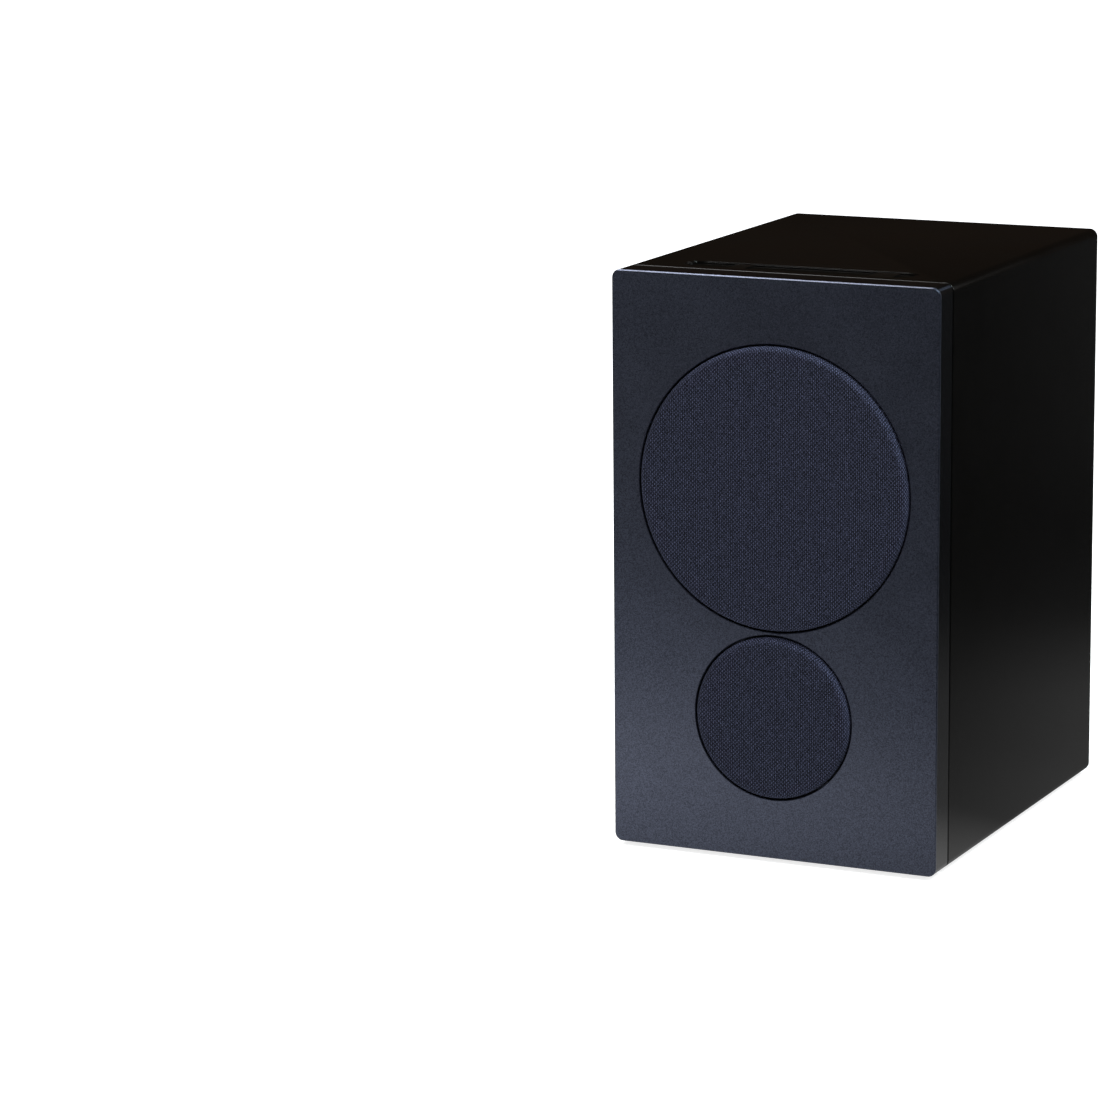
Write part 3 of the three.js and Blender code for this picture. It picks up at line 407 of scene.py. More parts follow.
def scaled(tree, colour, share):
    """A colour made darker or lighter by a share that varies over the surface."""
    node = tree.nodes.new("ShaderNodeVectorMath")
    node.operation = "SCALE"
    tree.links.new(colour, node.inputs[0])
    tree.links.new(share, node.inputs["Scale"])
    return node.outputs[0]


def tinted(colour, share):
    """A plain colour made darker or lighter by the same share everywhere."""
    return tuple(c * share for c in colour)


# %% A finish with one grain
GRAIN_SHARE = 0.7                     # the fine grain's share in the shift of colour
DRIFT_MIDDLE = (1 - GRAIN_SHARE) / 2  # the broad noise fills up the rest


def grained(name, colour, uneven, rough, size, depth, metal=0.0, specular=0.5, coat=0.0,
            stretch=(1, 1, 1), broad=30.0, drift=0.3, sharp=0.2):
    """Colour and roughness drift over a few centimetres; grain of a given size on top.

    Uneven says how far the colour strays to either side, and sharp how soon it gets there.
    """
    material, tree, shader, place = nodes_of(name)
    fine = noise(tree, place, size, 4, stretch)
    wide = noise(tree, place, broad, 2)
    drifting = between(tree, wide, DRIFT_MIDDLE - drift / 2, DRIFT_MIDDLE + drift / 2)
    mixed = joined(tree, "MULTIPLY_ADD", fine, GRAIN_SHARE, drifting)
    stops = [(0.5 - sharp, tinted(colour, 1 - uneven)), (0.5 + sharp, tinted(colour, 1 + uneven))]
    tree.links.new(ramp(tree, mixed, stops), shader.inputs["Base Color"])
    tree.links.new(between(tree, wide, rough * 0.9, rough * 1.1, 0.3, 0.7),
                   shader.inputs["Roughness"])
    relief(tree, shader, fine, depth)
    shader.inputs["Metallic"].default_value = metal
    shader.inputs["Specular IOR Level"].default_value = specular
    shader.inputs["Coat Weight"].default_value = coat
    return material


# %% [markdown]
# ## The cabinet's and the baffle's finishes
#
# The cabinet is covered in a black film with a very fine pressed grain. It is almost
# black, a little warm, and it mirrors the bright table softly near the bottom. The baffle
# is sprayed with a slate-coloured metallic lacquer: satin, slightly blue, with fine flakes
# that take the light. Flakes mirror in their own colour, so this one is made as a rough
# metal. Two separate materials keep that difference, which is what makes the front read
# as its own board.

# %% Cabinet wrap and baffle lacquer
finish = {}
finish["cabinet_wrap"] = grained("black_cabinet_wrap", (0.0010, 0.0009, 0.0008), 0.4,
                                 0.21, 0.9, 0.004, specular=0.45, drift=0.1)
finish["baffle_lacquer"] = grained("slate_baffle_lacquer", (0.064, 0.072, 0.103), 0.6,
                                   0.36, 0.5, 0.006, metal=0.93, coat=0.15, drift=0.03,
                                   sharp=0.15)
print("finishes so far:", sorted(finish))

# %% [markdown]
# ## Thin lacquer on the board's outer edges
#
# The baffle is sprayed lying on its back, so the face and its chamfer get the full coat
# while the outer edges behind them get hardly any: they are nearly as dark and as glossy
# as the cabinet. A mask worked out from the place on the board says where that is. It
# looks only at the outer edges, so the two seats keep their lacquer.


# %% Spray the baffle from the front
THIN_FROM, THIN_BY = 0.7, 1.5    # the coat fades out between these depths, in millimetres


def near_edge(tree, value, centre, half):
    """One on the board's outer edge, and nought well inside it."""
    away = joined(tree, "ABSOLUTE", joined(tree, "SUBTRACT", value, centre * MM))
    return between(tree, away, 0, 1, (half - THIN_BY) * MM, (half - THIN_FROM) * MM)


def sprayed_from_the_front(material, share, metal, rough):
    """Behind the board's front edge the lacquer is thin, so less of it shows there."""
    tree = material.node_tree
    shader = next(node for node in tree.nodes if node.type == "BSDF_PRINCIPLED")
    spot = parted(tree, tree.nodes.new("ShaderNodeTexCoord").outputs["Object"])
    depth = between(tree, spot["Y"], 0, 1, (FACE + THIN_FROM) * MM, (FACE + THIN_BY) * MM)
    beside = near_edge(tree, spot["X"], 0, WIDTH / 2)
    above = near_edge(tree, spot["Z"], MIDDLE, HEIGHT / 2)
    behind = joined(tree, "MULTIPLY", depth, joined(tree, "MAXIMUM", beside, above))
    full_colour = shader.inputs["Base Color"].links[0].from_socket
    full_metal = shader.inputs["Metallic"].default_value
    smoother = tree.nodes.new("ShaderNodeMix")
    smoother.inputs["B"].default_value = rough
    tree.links.new(behind, smoother.inputs["Factor"])
    tree.links.new(shader.inputs["Roughness"].links[0].from_socket, smoother.inputs["A"])
    dimmed = scaled(tree, full_colour, between(tree, behind, 1, share))
    tree.links.new(dimmed, shader.inputs["Base Color"])
    tree.links.new(smoother.outputs["Result"], shader.inputs["Roughness"])
    tree.links.new(between(tree, behind, full_metal, metal), shader.inputs["Metallic"])


sprayed_from_the_front(finish["baffle_lacquer"], share=0.015, metal=0.0, rough=0.21)
print("lacquer fades out", THIN_FROM, "to", THIN_BY, "mm behind the face")

# %% [markdown]
# ## The grille cloth's weave
#
# Speaker cloth is a plain weave of soft yarn: one thread passes over the next and under
# the one after. A checker pattern decides which of the two threads lies on top in each
# square, and a round wave across it gives that thread its body. A little noise makes the
# yarn uneven, as it really is. Sheen gives the soft light edge that fibres have, and the
# colour is painted lighter where the cloth turns up and to the right over the rim, as a
# painted highlight on that shoulder. Round the rim the weave goes on as the cloth was
# before folding: each place is pushed outwards along the surface's normal by its depth
# behind the front.


# %% Threads of the cloth
CLOTH_PROUD = 2.5    # the cloth's face stands this far in front of the baffle's
WEFT_SHARE = 0.55    # the cross threads are flatter than the upright ones


def unfolded(tree, place, normal):
    """Places on the cloth as it lay before it was folded round the rim."""
    depth = joined(tree, "SUBTRACT", parted(tree, place)["Y"], (FACE - CLOTH_PROUD) * MM)
    pushed = tree.nodes.new("ShaderNodeVectorMath")
    pushed.operation = "MULTIPLY_ADD"
    for socket, value in zip(pushed.inputs, (normal, depth, place)):
        tree.links.new(value, socket)
    flat = tree.nodes.new("ShaderNodeMapping")
    flat.inputs["Scale"].default_value = (1, 0, 1)
    tree.links.new(pushed.outputs[0], flat.inputs["Vector"])
    return flat.outputs["Vector"]


def wave(tree, place, pitch, direction):
    node = tree.nodes.new("ShaderNodeTexWave")
    node.bands_direction = direction
    node.inputs["Scale"].default_value = 2 * math.pi / (20 * pitch * MM)
    tree.links.new(place, node.inputs["Vector"])
    return node.outputs["Fac"]


def plain_weave(tree, flat, pitch):
    """How far the threads stand up at each place."""
    on_top = tree.nodes.new("ShaderNodeTexChecker")
    on_top.inputs["Scale"].default_value = 1 / (pitch * MM)
    tree.links.new(flat, on_top.inputs["Vector"])
    threads = tree.nodes.new("ShaderNodeMix")
    tree.links.new(on_top.outputs["Fac"], threads.inputs["Factor"])
    tree.links.new(wave(tree, flat, pitch, "X"), threads.inputs["A"])
    weft = wave(tree, flat, pitch, "Z")
    tree.links.new(between(tree, weft, 0.0, WEFT_SHARE), threads.inputs["B"])
    return threads.outputs["Result"]


def painted_shoulder_light(tree, colour, normal):
    """Painted highlight: the colour is made lighter where the cloth turns up and to the right over
    the rim.
    """
    facing = tree.nodes.new("ShaderNodeVectorMath")
    facing.operation = "DOT_PRODUCT"
    # the painted light seems to fall from up and to the right
    facing.inputs[1].default_value = (0.5, 0, 0.87)
    tree.links.new(normal, facing.inputs[0])
    return scaled(tree, colour, between(tree, facing.outputs["Value"], 1.0, 2.3, 0.05, 0.6))


# %% Woven cloth
def woven(name, colour, pitch):
    material, tree, shader, place = nodes_of(name)
    normal = tree.nodes.new("ShaderNodeTexCoord").outputs["Normal"]
    body = plain_weave(tree, unfolded(tree, place, normal), pitch)
    yarn = noise(tree, place, 0.9, 5, roughness=0.7)
    patch = noise(tree, place, 9.0, 2)
    # The colour follows the threads' height: where they dip it is painted darker, a painted shade
    # between the threads. The yarn noise adds the yarn's real unevenness.
    shade = joined(tree, "MULTIPLY_ADD", body, 0.62, between(tree, yarn, 0.0, 0.4, 0.3, 0.7))
    stops = [(0.15, tinted(colour, 0.05)), (0.5, tinted(colour, 0.7)), (0.88, tinted(colour, 4.2))]
    # The rim's shoulder is lightened by a painted highlight.
    tree.links.new(painted_shoulder_light(tree, ramp(tree, shade, stops), normal), shader.inputs["Base Color"])
    tree.links.new(between(tree, patch, 0.78, 0.95), shader.inputs["Roughness"])
    soft = relief(tree, shader, yarn, 0.08)
    relief(tree, shader, body, 0.22, before=soft)
    shader.inputs["Sheen Weight"].default_value = 0.04
    shader.inputs["Sheen Roughness"].default_value = 0.6
    shader.inputs["Sheen Tint"].default_value = (0.5, 0.55, 0.8, 1)
    shader.inputs["Specular IOR Level"].default_value = 0.08
    return material


WEAVE = 1.05
finish["grille_cloth"] = woven("blue_black_grille_cloth", (0.0135, 0.0148, 0.0262), WEAVE)
print("weave pitch", WEAVE, "mm")

# %% [markdown]
# ## The other finishes
#
# Moulded plastic has a fine spark-eroded texture. Keys are polished, so their grain is
# almost gone, and they are a very dark black that hardly mirrors. The bezel round them is
# satin and mirrors as much as the cabinet. Rubber and paper are dull, and paper shows its
# fibres. Castings are coarse, plated steel is bright, and painted steel has a slight
# orange peel. Each line below says the colour, how uneven it is, its roughness, the grain
# in millimetres and the relief in millimetres.

# %% Plastics, rubber, paper and metals
plain_finishes = {
    "black_plastic": ("textured_black_plastic", (0.006, 0.0058, 0.0056), 0.2, 0.4, 0.3, 0.01),
    "rubber": ("matt_rubber", (0.012, 0.012, 0.0125), 0.18, 0.72, 0.6, 0.015),
    "paper_cone": ("pressed_paper", (0.022, 0.022, 0.024), 0.35, 0.8, 0.8, 0.05),
    "silk_dome": ("coated_silk", (0.016, 0.016, 0.019), 0.25, 0.6, 0.25, 0.02),
    "cast_alloy": ("black_cast_alloy", (0.020, 0.020, 0.021), 0.3, 0.52, 0.9, 0.05),
    "black_steel": ("painted_black_steel", (0.013, 0.013, 0.014), 0.15, 0.42, 0.5, 0.015),
    "black_aluminium": ("anodised_black", (0.018, 0.018, 0.020), 0.2, 0.38, 0.25, 0.01),
    "ferrite": ("pressed_ferrite", (0.035, 0.034, 0.033), 0.3, 0.62, 0.7, 0.04),
    "board": ("circuit_board", (0.010, 0.060, 0.024), 0.3, 0.35, 1.5, 0.01),
    "foam": ("grey_foam", (0.11, 0.11, 0.115), 0.4, 0.95, 1.2, 0.3),
    "spider_cloth": ("resined_cotton", (0.42, 0.30, 0.12), 0.25, 0.8, 0.5, 0.06),
    "lead_sleeve": ("lead_sleeve", (0.02, 0.02, 0.022), 0.2, 0.45, 0.5, 0.01),
}
for slot_name, recipe in plain_finishes.items():
    finish[slot_name] = grained(*recipe)
finish["steel"] = grained("zinc_plated_steel", (0.52, 0.52, 0.50), 0.12, 0.33, 0.35, 0.01,
                          metal=1.0)
finish["copper"] = grained("enamelled_copper", (0.62, 0.22, 0.08), 0.2, 0.3, 0.3, 0.02,
                           metal=1.0, stretch=(1, 6, 1))
finish["gloss_key"] = grained("polished_black_key", (0.0016, 0.0016, 0.0015), 0.15, 0.12, 0.4,
                              0.002, specular=0.015)
finish["bezel_plastic"] = grained("satin_black_bezel", (0.0020, 0.0018, 0.0016), 0.2, 0.24, 0.4,
                                  0.003, specular=0.45)
print("finishes:", len(finish))

# %% A finish for each rear connector's own metal and insulator
connector = {
    "nickel": grained("nickel_barrel", (0.60, 0.58, 0.54), 0.08, 0.22, 0.3, 0.004, metal=1.0),
    "white": grained("white_insulator", (0.72, 0.71, 0.68), 0.05, 0.4, 0.4, 0.005),
    "red": grained("red_insulator", (0.52, 0.015, 0.012), 0.08, 0.4, 0.4, 0.005),
    "brass": grained("contact_brass", (0.75, 0.52, 0.20), 0.08, 0.3, 0.3, 0.004, metal=1.0),
}

# %% [markdown]
# ## Putting a piece in its place
#
# Each finished piece says three things: which CAD body carries it, which CAD node it
# stands for, and which slot of the record its finish comes from. One small function says
# all three, so that no piece can forget one.

# %% Mount a piece
made_pieces = []


def mount(made, body, node, slot_name, material=None):
    made.data.materials.clear()
    made.data.materials.append(material or finish[slot_name])
    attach(made, body)
    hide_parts(node)
    made_pieces.append(made.name)
    return made


# %% [markdown]
# ## Cabinet
#
# The real box is made of boards wrapped in film. The four edges that run from front to
# back are round, and so are those at the back. The front edge is only eased, because the
# baffle meets it there. The hollow for the drivers, the hole for the reflex tube, the
# rebate of the amplifier plate and the tray for the keys are cut into it. It is one slab
# with tools taken away, because the wrap runs over all of it without a seam.


# %% Cabinet shell
WALL = 12
CORNER = 4.5                         # radius of the edges that run from front to back
STRIP_LENGTH, STRIP_WIDTH = 130, 18  # the key strip in the top
FRONT_EDGE = low("cabinet_shell").y
PLATE_LOW, PLATE_HIGH = low("amplifier_plate"), high("amplifier_plate")
PLATE_SIZE = (PLATE_HIGH.x - PLATE_LOW.x, PLATE_HIGH.z - PLATE_LOW.z)
PLATE_MIDDLE = (PLATE_LOW.z + PLATE_HIGH.z) / 2
PORT_HEIGHT = middle("port_tube").z
STRIP_Y = middle("control_bezel").y


def stadium(length, width, start, end, eases=(0, 0)):
    return slab("tool", (length, width), width / 2 - 0.5, (0, STRIP_Y), start, end, eases, "Z")


cabinet = slab("wrapped_cabinet", (WIDTH, HEIGHT), CORNER, (0, MIDDLE), FRONT_EDGE, BACK,
               (0.35, 3.5), steps=6)
half_inside = WIDTH / 2 - WALL
cut(cabinet,
    block((-half_inside, FRONT_EDGE - 1, BOTTOM + WALL), (half_inside, BACK - WALL, TOP - WALL)),
    slab("tool", (PLATE_SIZE[0] + 0.6, PLATE_SIZE[1] + 0.6), 5.3, (0, PLATE_MIDDLE),
         PLATE_LOW.y - 0.3, BACK + 1, (0, 0)),
    slab("tool", (PLATE_SIZE[0] - 16, PLATE_SIZE[1] - 16), 3, (0, PLATE_MIDDLE),
         BACK - WALL - 1, BACK + 1, (0, 0)),
    rod(30.3, BACK - WALL - 1, BACK + 1, (0, PORT_HEIGHT), sides=96),
    stadium(STRIP_LENGTH + 0.6, STRIP_WIDTH + 0.6, TOP - 3.6, TOP + 1),
    stadium(125, 13, TOP - WALL - 1, TOP + 1))
eased(cabinet, 0.07)
mount(cabinet, "speaker", "cabinet_shell", "cabinet_wrap")
print("cabinet faces:", len(cabinet.data.polygons))

# %% [markdown]
# ## Front baffle
#
# The baffle is a thick board with a step behind that plugs into the cabinet. A router
# cuts a shallow round seat for each driver and a hole through it. The seat's outer wall
# is seen as the thin dark ring of air round each grille, so its edge gets a small chamfer
# and many sides. The board's own front edge has a flat chamfer, half a millimetre wide,
# which shows as a bright line along the top.


# %% Baffle with its two seats
BOARD, STEP_BACK = 18, 28              # the board's thickness, and where its step ends
BASS_SEAT, TREBLE_SEAT = 76.5, 44.5    # radii of the seats
BASS_HOLE, TREBLE_HOLE = 61, 38        # radii of the holes behind them


def seat(radius, depth, z):
    """The tool for a round seat, with a chamfer where it opens at the face."""
    return turned("tool", [(0, FACE - 1), (radius + 1.4, FACE - 1), (radius, FACE + 0.4),
                           (radius, FACE + depth), (0, FACE + depth)], (0, z), sides=160)


baffle = slab("front_board", (WIDTH, HEIGHT), CORNER, (0, MIDDLE), FACE, FACE + BOARD,
              (0.5, 0.5), steps=1)
fused(baffle, block((-half_inside + 0.5, FACE + BOARD - 2, BOTTOM + WALL + 0.5),
                    (half_inside - 0.5, FACE + STEP_BACK, TOP - WALL - 0.5)))
cut(baffle, seat(BASS_SEAT, 17, BASS),
    rod(BASS_HOLE, FACE + 1, FACE + STEP_BACK + 2, (0, BASS), sides=128),
    seat(TREBLE_SEAT, 15, TREBLE),
    rod(TREBLE_HOLE, FACE + 1, FACE + STEP_BACK + 2, (0, TREBLE), sides=96))
mount(baffle, "speaker", "front_baffle", "baffle_lacquer")
print("baffle faces:", len(baffle.data.polygons))

# %% [markdown]
# ## Gasket, feet and reflex tube
#
# A thin rubber gasket lies in the groove between baffle and cabinet, and shows as a dark
# line. The feet are rubber discs with a rounded rim, hollowed a little underneath. The
# reflex tube opens into a trumpet mouth so that the air leaves it quietly, and that curve
# needs many steps to look smooth.

# %% Gasket
gasket_low, gasket_high = low("baffle_gasket"), high("baffle_gasket")
gasket = slab("groove_gasket", (gasket_high.x - gasket_low.x, gasket_high.z - gasket_low.z), 2,
              (0, MIDDLE), gasket_low.y, gasket_high.y, (0.15, 0.15))
cut(gasket, block((-half_inside - 0.3, gasket_low.y - 1, BOTTOM + WALL - 0.3),
                  (half_inside + 0.3, gasket_high.y + 1, TOP - WALL + 0.3)))
mount(gasket, "speaker", "baffle_gasket", "rubber")

# %% Feet
for corner_name in ("front_left", "front_right", "rear_left", "rear_right"):
    node = "foot_" + corner_name
    centre = middle(node)
    reach, tall = high(node).x - centre.x, high(node).z
    outline = softened([(0, 0.5), (3.2, 0.5), (3.6, 0), (reach, 0, 0.8), (reach, tall, 0.3),
                        (0, tall)], 0.3, closed=False, steps=5)
    foot = turned("rubber_foot_" + corner_name, outline, (centre.x, centre.y), "Z", 64)
    mount(foot, "speaker", node, "rubber")
print("feet:", sum("rubber_foot" in name for name in made_pieces))

# %% Reflex tube
MOUTH, BORE = 29, 20     # the tube's radii inside, at its mouth and along it
FLARE_DEPTH = 14.3
port_low, port_high = low("port_tube"), high("port_tube")
flare = [(MOUTH - (MOUTH - BORE) * math.sin(a), port_high.y - FLARE_DEPTH * (1 - math.cos(a)))
         for a in spread(0, math.pi / 2, 25)]
tube_outline = flare + [(BORE, port_low.y + 0.6), (BORE + 0.6, port_low.y), (22, port_low.y),
                        (22.5, port_low.y + 0.6), (22.5, BACK - 13), (30, BACK - 13),
                        (30, BACK + 0.3), (34, BACK + 0.3), (34, port_high.y - 1.1),
                        (33.6, port_high.y - 0.35), (32.8, port_high.y)]
reflex_tube = turned("reflex_tube", tube_outline, (0, PORT_HEIGHT), sides=144)
mount(reflex_tube, "speaker", "port_tube", "black_plastic")
print("reflex tube", round(port_high.y - port_low.y), "mm long")

# %% [markdown]
# ## Damping blanket
#
# Behind the drivers the walls are lined with soft foam, moulded into low waves that break
# up the sound. It runs up one side, across under the top and down the other side. The
# sheet is built as one bent strip: a path round three walls, with the waves pushing its
# inner skin in and out, and soft ends.


# %% Blanket path and waves
def blanket_path(inset, radius):
    """Points (x, z, inward x, inward z) up the left wall, over the top and down the right."""
    box_low, box_high = low("damping_blanket"), high("damping_blanket")
    x, top = box_high.x - inset, box_high.z - inset
    bend = spread(0.0, math.pi / 2, 6)
    path = [(-x, z, 1, 0) for z in spread(box_low.z, top - radius, 26)]
    path += [(-x + radius - radius * math.cos(a), top - radius + radius * math.sin(a),
              math.cos(a), -math.sin(a)) for a in bend]
    path += [(a, top, 0, -1) for a in spread(-x + radius, x - radius, 26)]
    path += [(x - radius + radius * math.sin(a), top - radius + radius * math.cos(a),
              -math.sin(a), -math.cos(a)) for a in bend]
    path += [(x, z, -1, 0) for z in spread(top - radius, box_low.z, 26)]
    return path


# %% Damping blanket
FOAM_EDGE = 2.4    # how thick the foam is along its edges
FOAM_RISE = 4.1    # how much thicker it gets away from them
FOAM_WAVE = 1.3    # how high the waves stand
FOAM_TURN = 0.9    # how far round a wave each step of the mesh goes, in radians


def foam_depth(side, i, j, edge):
    """How far a point lies from the wall, on the wall's side (0) or on the open one (1)."""
    swell = 1 - math.exp(-edge / 1.2)
    if side == 0:
        return 0.5 * (1 - swell)
    crest = FOAM_WAVE * math.sin(i * FOAM_TURN) * math.sin(j * FOAM_TURN)
    return FOAM_EDGE + (FOAM_RISE + crest) * swell


def damping_foam():
    box_low, box_high = low("damping_blanket"), high("damping_blanket")
    path, across = blanket_path(0.2, 9), spread(box_low.y, box_high.y, 44)
    n, m = len(path), len(across)
    points, faces = [], []
    for side in (0, 1):
        for i, (x, z, u, v) in enumerate(path):
            for j, y in enumerate(across):
                depth = foam_depth(side, i, j, min(i, n - 1 - i, j, m - 1 - j))
                points.append((x + u * depth, y, z + v * depth))

    def at(side, i, j):
        return side * n * m + i * m + j

    for side in (0, 1):
        faces += [[at(side, i, j), at(side, i + 1, j), at(side, i + 1, j + 1), at(side, i, j + 1)]
                  for i in range(n - 1) for j in range(m - 1)]
    for j in (0, m - 1):
        faces += [[at(0, i, j), at(0, i + 1, j), at(1, i + 1, j), at(1, i, j)]
                  for i in range(n - 1)]
    for i in (0, n - 1):
        faces += [[at(0, i, j), at(0, i, j + 1), at(1, i, j + 1), at(1, i, j)]
                  for j in range(m - 1)]
    return piece("damping_foam", points, faces, crease=80)


blanket = damping_foam()
round_off = blanket.modifiers.new("soft skin", "SUBSURF")
round_off.levels = round_off.render_levels = 1
settled(blanket)
mount(blanket, "speaker", "damping_blanket", "foam")
print("blanket faces:", len(blanket.data.polygons))

# %% [markdown]
# ## Bass driver: basket
#
# The basket is a cast frame: a flat rim that is screwed to the baffle, and a bowl with
# six windows that let the air behind the cone move freely. Its outline is turned and the
# windows, screw holes and peg sockets are cut. Depths are measured from the baffle's
# face.


# %% Turned pieces of a driver
def driver_outline(points):
    """Depths behind the baffle's face become places along Y."""
    return [(p[0], FACE + p[1], *p[2:]) for p in points]


def driver_piece(name, points, z, radius=0.0, sides=144, closed=None, crease=35):
    is_ring = points[0][0] > 1e-6 if closed is None else closed
    outline = softened(driver_outline(points), radius, closed=is_ring)
    return turned(name, outline, (0, z), sides=sides, closed=is_ring, crease=crease)


def turned_round(made, degrees, z):
    """Turns a tool about a driver's axis."""
    centre = Matrix.Translation(Vector((0, 0, z)) * MM)
    made.data.transform(centre @ Matrix.Rotation(math.radians(degrees), 4, "Y")
                        @ centre.inverted())
    return made


# %% Basket
BASS_SCREWS = 70.5    # radius of the circle on which the screws and the grille's pegs lie
bowl_points = [(57.3, 13), (75.5, 13), (75.5, 16.7), (59.5, 16.7), (59.5, 21.5), (46, 47.7),
               (46, 50.7), (24, 50.7), (24, 48.2), (43.7, 48.2), (46.4, 42.3), (38.5, 42.3),
               (38.5, 40.3), (47.5, 40.3), (57.3, 21.5)]
basket = driver_piece("bass_basket", bowl_points, BASS, radius=0.5)
windows = [turned_round(slab("tool", (14.8, 28), 4, (FACE + 30.9, BASS), 42, 66, (0, 0), "X"),
                        30 + 60 * i, BASS) for i in range(6)]


def rim_holes(z, circle, screws, screw_radius, pegs, first_peg, peg_radius):
    places = [(screw_radius, p) for p in on_circle(circle, screws, 0)]
    places += [(peg_radius, p) for p in on_circle(circle, pegs, first_peg)]
    return [rod(r, FACE + 5, FACE + 18, (x, z + dz), sides=24) for r, (x, dz) in places]


cut(basket, *windows, *rim_holes(BASS, BASS_SCREWS, 4, 2.25, 3, 45, 1.85))
terminal = slab("tool", (14, 15), 1, (0, BASS - 50.5), FACE + 48.7, FACE + 50.7, (0.3, 0.3))
fused(basket, terminal)
mount(basket, "speaker", "woofer_basket", "cast_alloy")
print("basket faces:", len(basket.data.polygons))

# %% [markdown]
# ## Bass driver: cone, dust cap and coil
#
# The cone is pressed from paper pulp. Its flank isn't straight: it is steepest near the
# rim and curves a little, which keeps it stiff. A dome of the same paper closes the neck,
# and the voice coil is glued behind. All three move as one body, four millimetres each
# way.


# %% Cone and dust cap
CONE_EDGE, GLUE_EDGE, NECK = 51.5, 47.5, 13.7    # radii: rim, end of the glued strip, neck
CONE_RIM, CONE_FALL, PULP = 13, 20, 0.7          # the rim's depth, the fall, the paper


def cone_depth(radius):
    share = max((GLUE_EDGE - radius) / (GLUE_EDGE - NECK), 0)
    return CONE_RIM + CONE_FALL * share ** 0.85


cone_radii = spread(GLUE_EDGE, NECK, 28)
cone_front = [(r, cone_depth(r)) for r in cone_radii]
cone_back = [(r, cone_depth(r) + PULP) for r in reversed(cone_radii)]
cone_points = [(CONE_EDGE, CONE_RIM), *cone_front, *cone_back, (CONE_EDGE, CONE_RIM + PULP)]
cone = driver_piece("bass_cone", cone_points, BASS, sides=160, crease=60)
mount(cone, "woofer_cone_assembly", "woofer_cone", "paper_cone")


def dome_points(edge, rise, skin, base):
    """The outline of a thin dome that bulges towards the front."""
    radius = (edge ** 2 + rise ** 2) / (2 * rise)
    half = math.degrees(math.asin(edge / radius))
    centre = base - rise + radius
    outer = arc(0, centre, radius, -90, -90 + half, 20)
    inner = arc(0, centre, radius - skin, -90 + half, -90, 20)
    return [(0, outer[0][1]), *outer[1:], *inner[:-1], (0, inner[-1][1])]


cap = driver_piece("bass_dust_cap", dome_points(19, 7, 0.8, cone_depth(19) - 1.1), BASS,
                   closed=False, crease=60)
mount(cap, "woofer_cone_assembly", "woofer_dust_cap", "paper_cone")
coil_points = [(12.9, 31), (13.4, 31), (13.4, 49.2), (14.2, 49.2), (14.2, 59.9), (12.9, 59.9)]
coil = driver_piece("bass_voice_coil", coil_points, BASS, radius=0.12)
mount(coil, "woofer_cone_assembly", "woofer_voice_coil", "copper")
print("cone faces:", len(cone.data.polygons))

# %% [markdown]
# ## Bass driver: surround and spider
#
# Two rings let the cone move straight in and out. The surround is a half roll of rubber
# at the rim, and the spider is a pleated cloth disc at the neck.


# %% A ring between the basket and the moving part
def flexing(made):
    """Bakes the piece's place into its mesh."""
    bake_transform(made)
    return made


def mount_flexing(made, node, slot_name):
    made.data.materials.append(finish[slot_name])
    flexing(made)
    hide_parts(node)
    made_pieces.append(made.name)
    return made


# %% Surround
ROLL, ROLL_RADIUS, RUBBER = 56.5, 5, 0.9
surround_points = [(47.5, 12.7), (47.5, 11.8), *arc(ROLL, 11.8, ROLL_RADIUS, 180, 360, 28),
                   (66.5, 11.8), (66.5, 12.7), *arc(ROLL, 12.7, ROLL_RADIUS - RUBBER, 360, 180, 28)]
surround = driver_piece("bass_surround", surround_points, BASS, sides=160, crease=50)
mount_flexing(surround, "woofer_surround", "rubber")

# %% Spider
spider_radii = spread(14.0, 38.5, 65)
pleat = [1.3 * math.cos(2 * math.pi * i / 16) for i in range(65)]
spider_front = [(r, 37.8 - p) for r, p in zip(spider_radii, pleat)]
spider_back = [(r, 38.4 - p) for r, p in zip(reversed(spider_radii), reversed(pleat))]
spider = driver_piece("bass_spider", [*spider_front, (41.5, 39.4), (41.5, 40.0), *spider_back],
                      BASS, sides=112, crease=60)
mount_flexing(spider, "woofer_spider", "spider_cloth")
print("surround and spider faces:", len(surround.data.polygons), len(spider.data.polygons))

# %% [markdown]
# ## Bass driver: motor
#
# Behind the basket a ring magnet is clamped between a steel top plate and a steel yoke
# with a round pole. They are turned or pressed parts, so each is one outline with small
# chamfers.

# %% Top plate, magnet and yoke
motor = {
    "bass_top_plate": ("woofer_top_plate", "steel",
                       [(15.1, 51), (42, 51), (42, 56.7), (15.1, 56.7)], 0.5),
    "bass_magnet": ("woofer_magnet", "ferrite", [(20, 57), (46, 57), (46, 74), (20, 74)], 1.3),
    "bass_yoke": ("woofer_yoke", "steel",
                  [(0, 48.7), (12, 48.7), (12, 74.3), (42, 74.3), (42, 80), (0, 80)], 0.9),
}
for name, (node, slot_name, points, radius) in motor.items():
    mount(driver_piece(name, points, BASS, radius, sides=112), "speaker", node, slot_name)
print("motor pieces:", len(motor))

# %% [markdown]
# ## Screws
#
# A pan-head screw has a low domed head with a cross recess. The recess is two thin
# blades taken away. All screws of one size share one mesh, which is how repeated hardware
# is best kept: a change to one changes all. No two of them stop at the same angle, so
# each is turned a bit further than the one before.


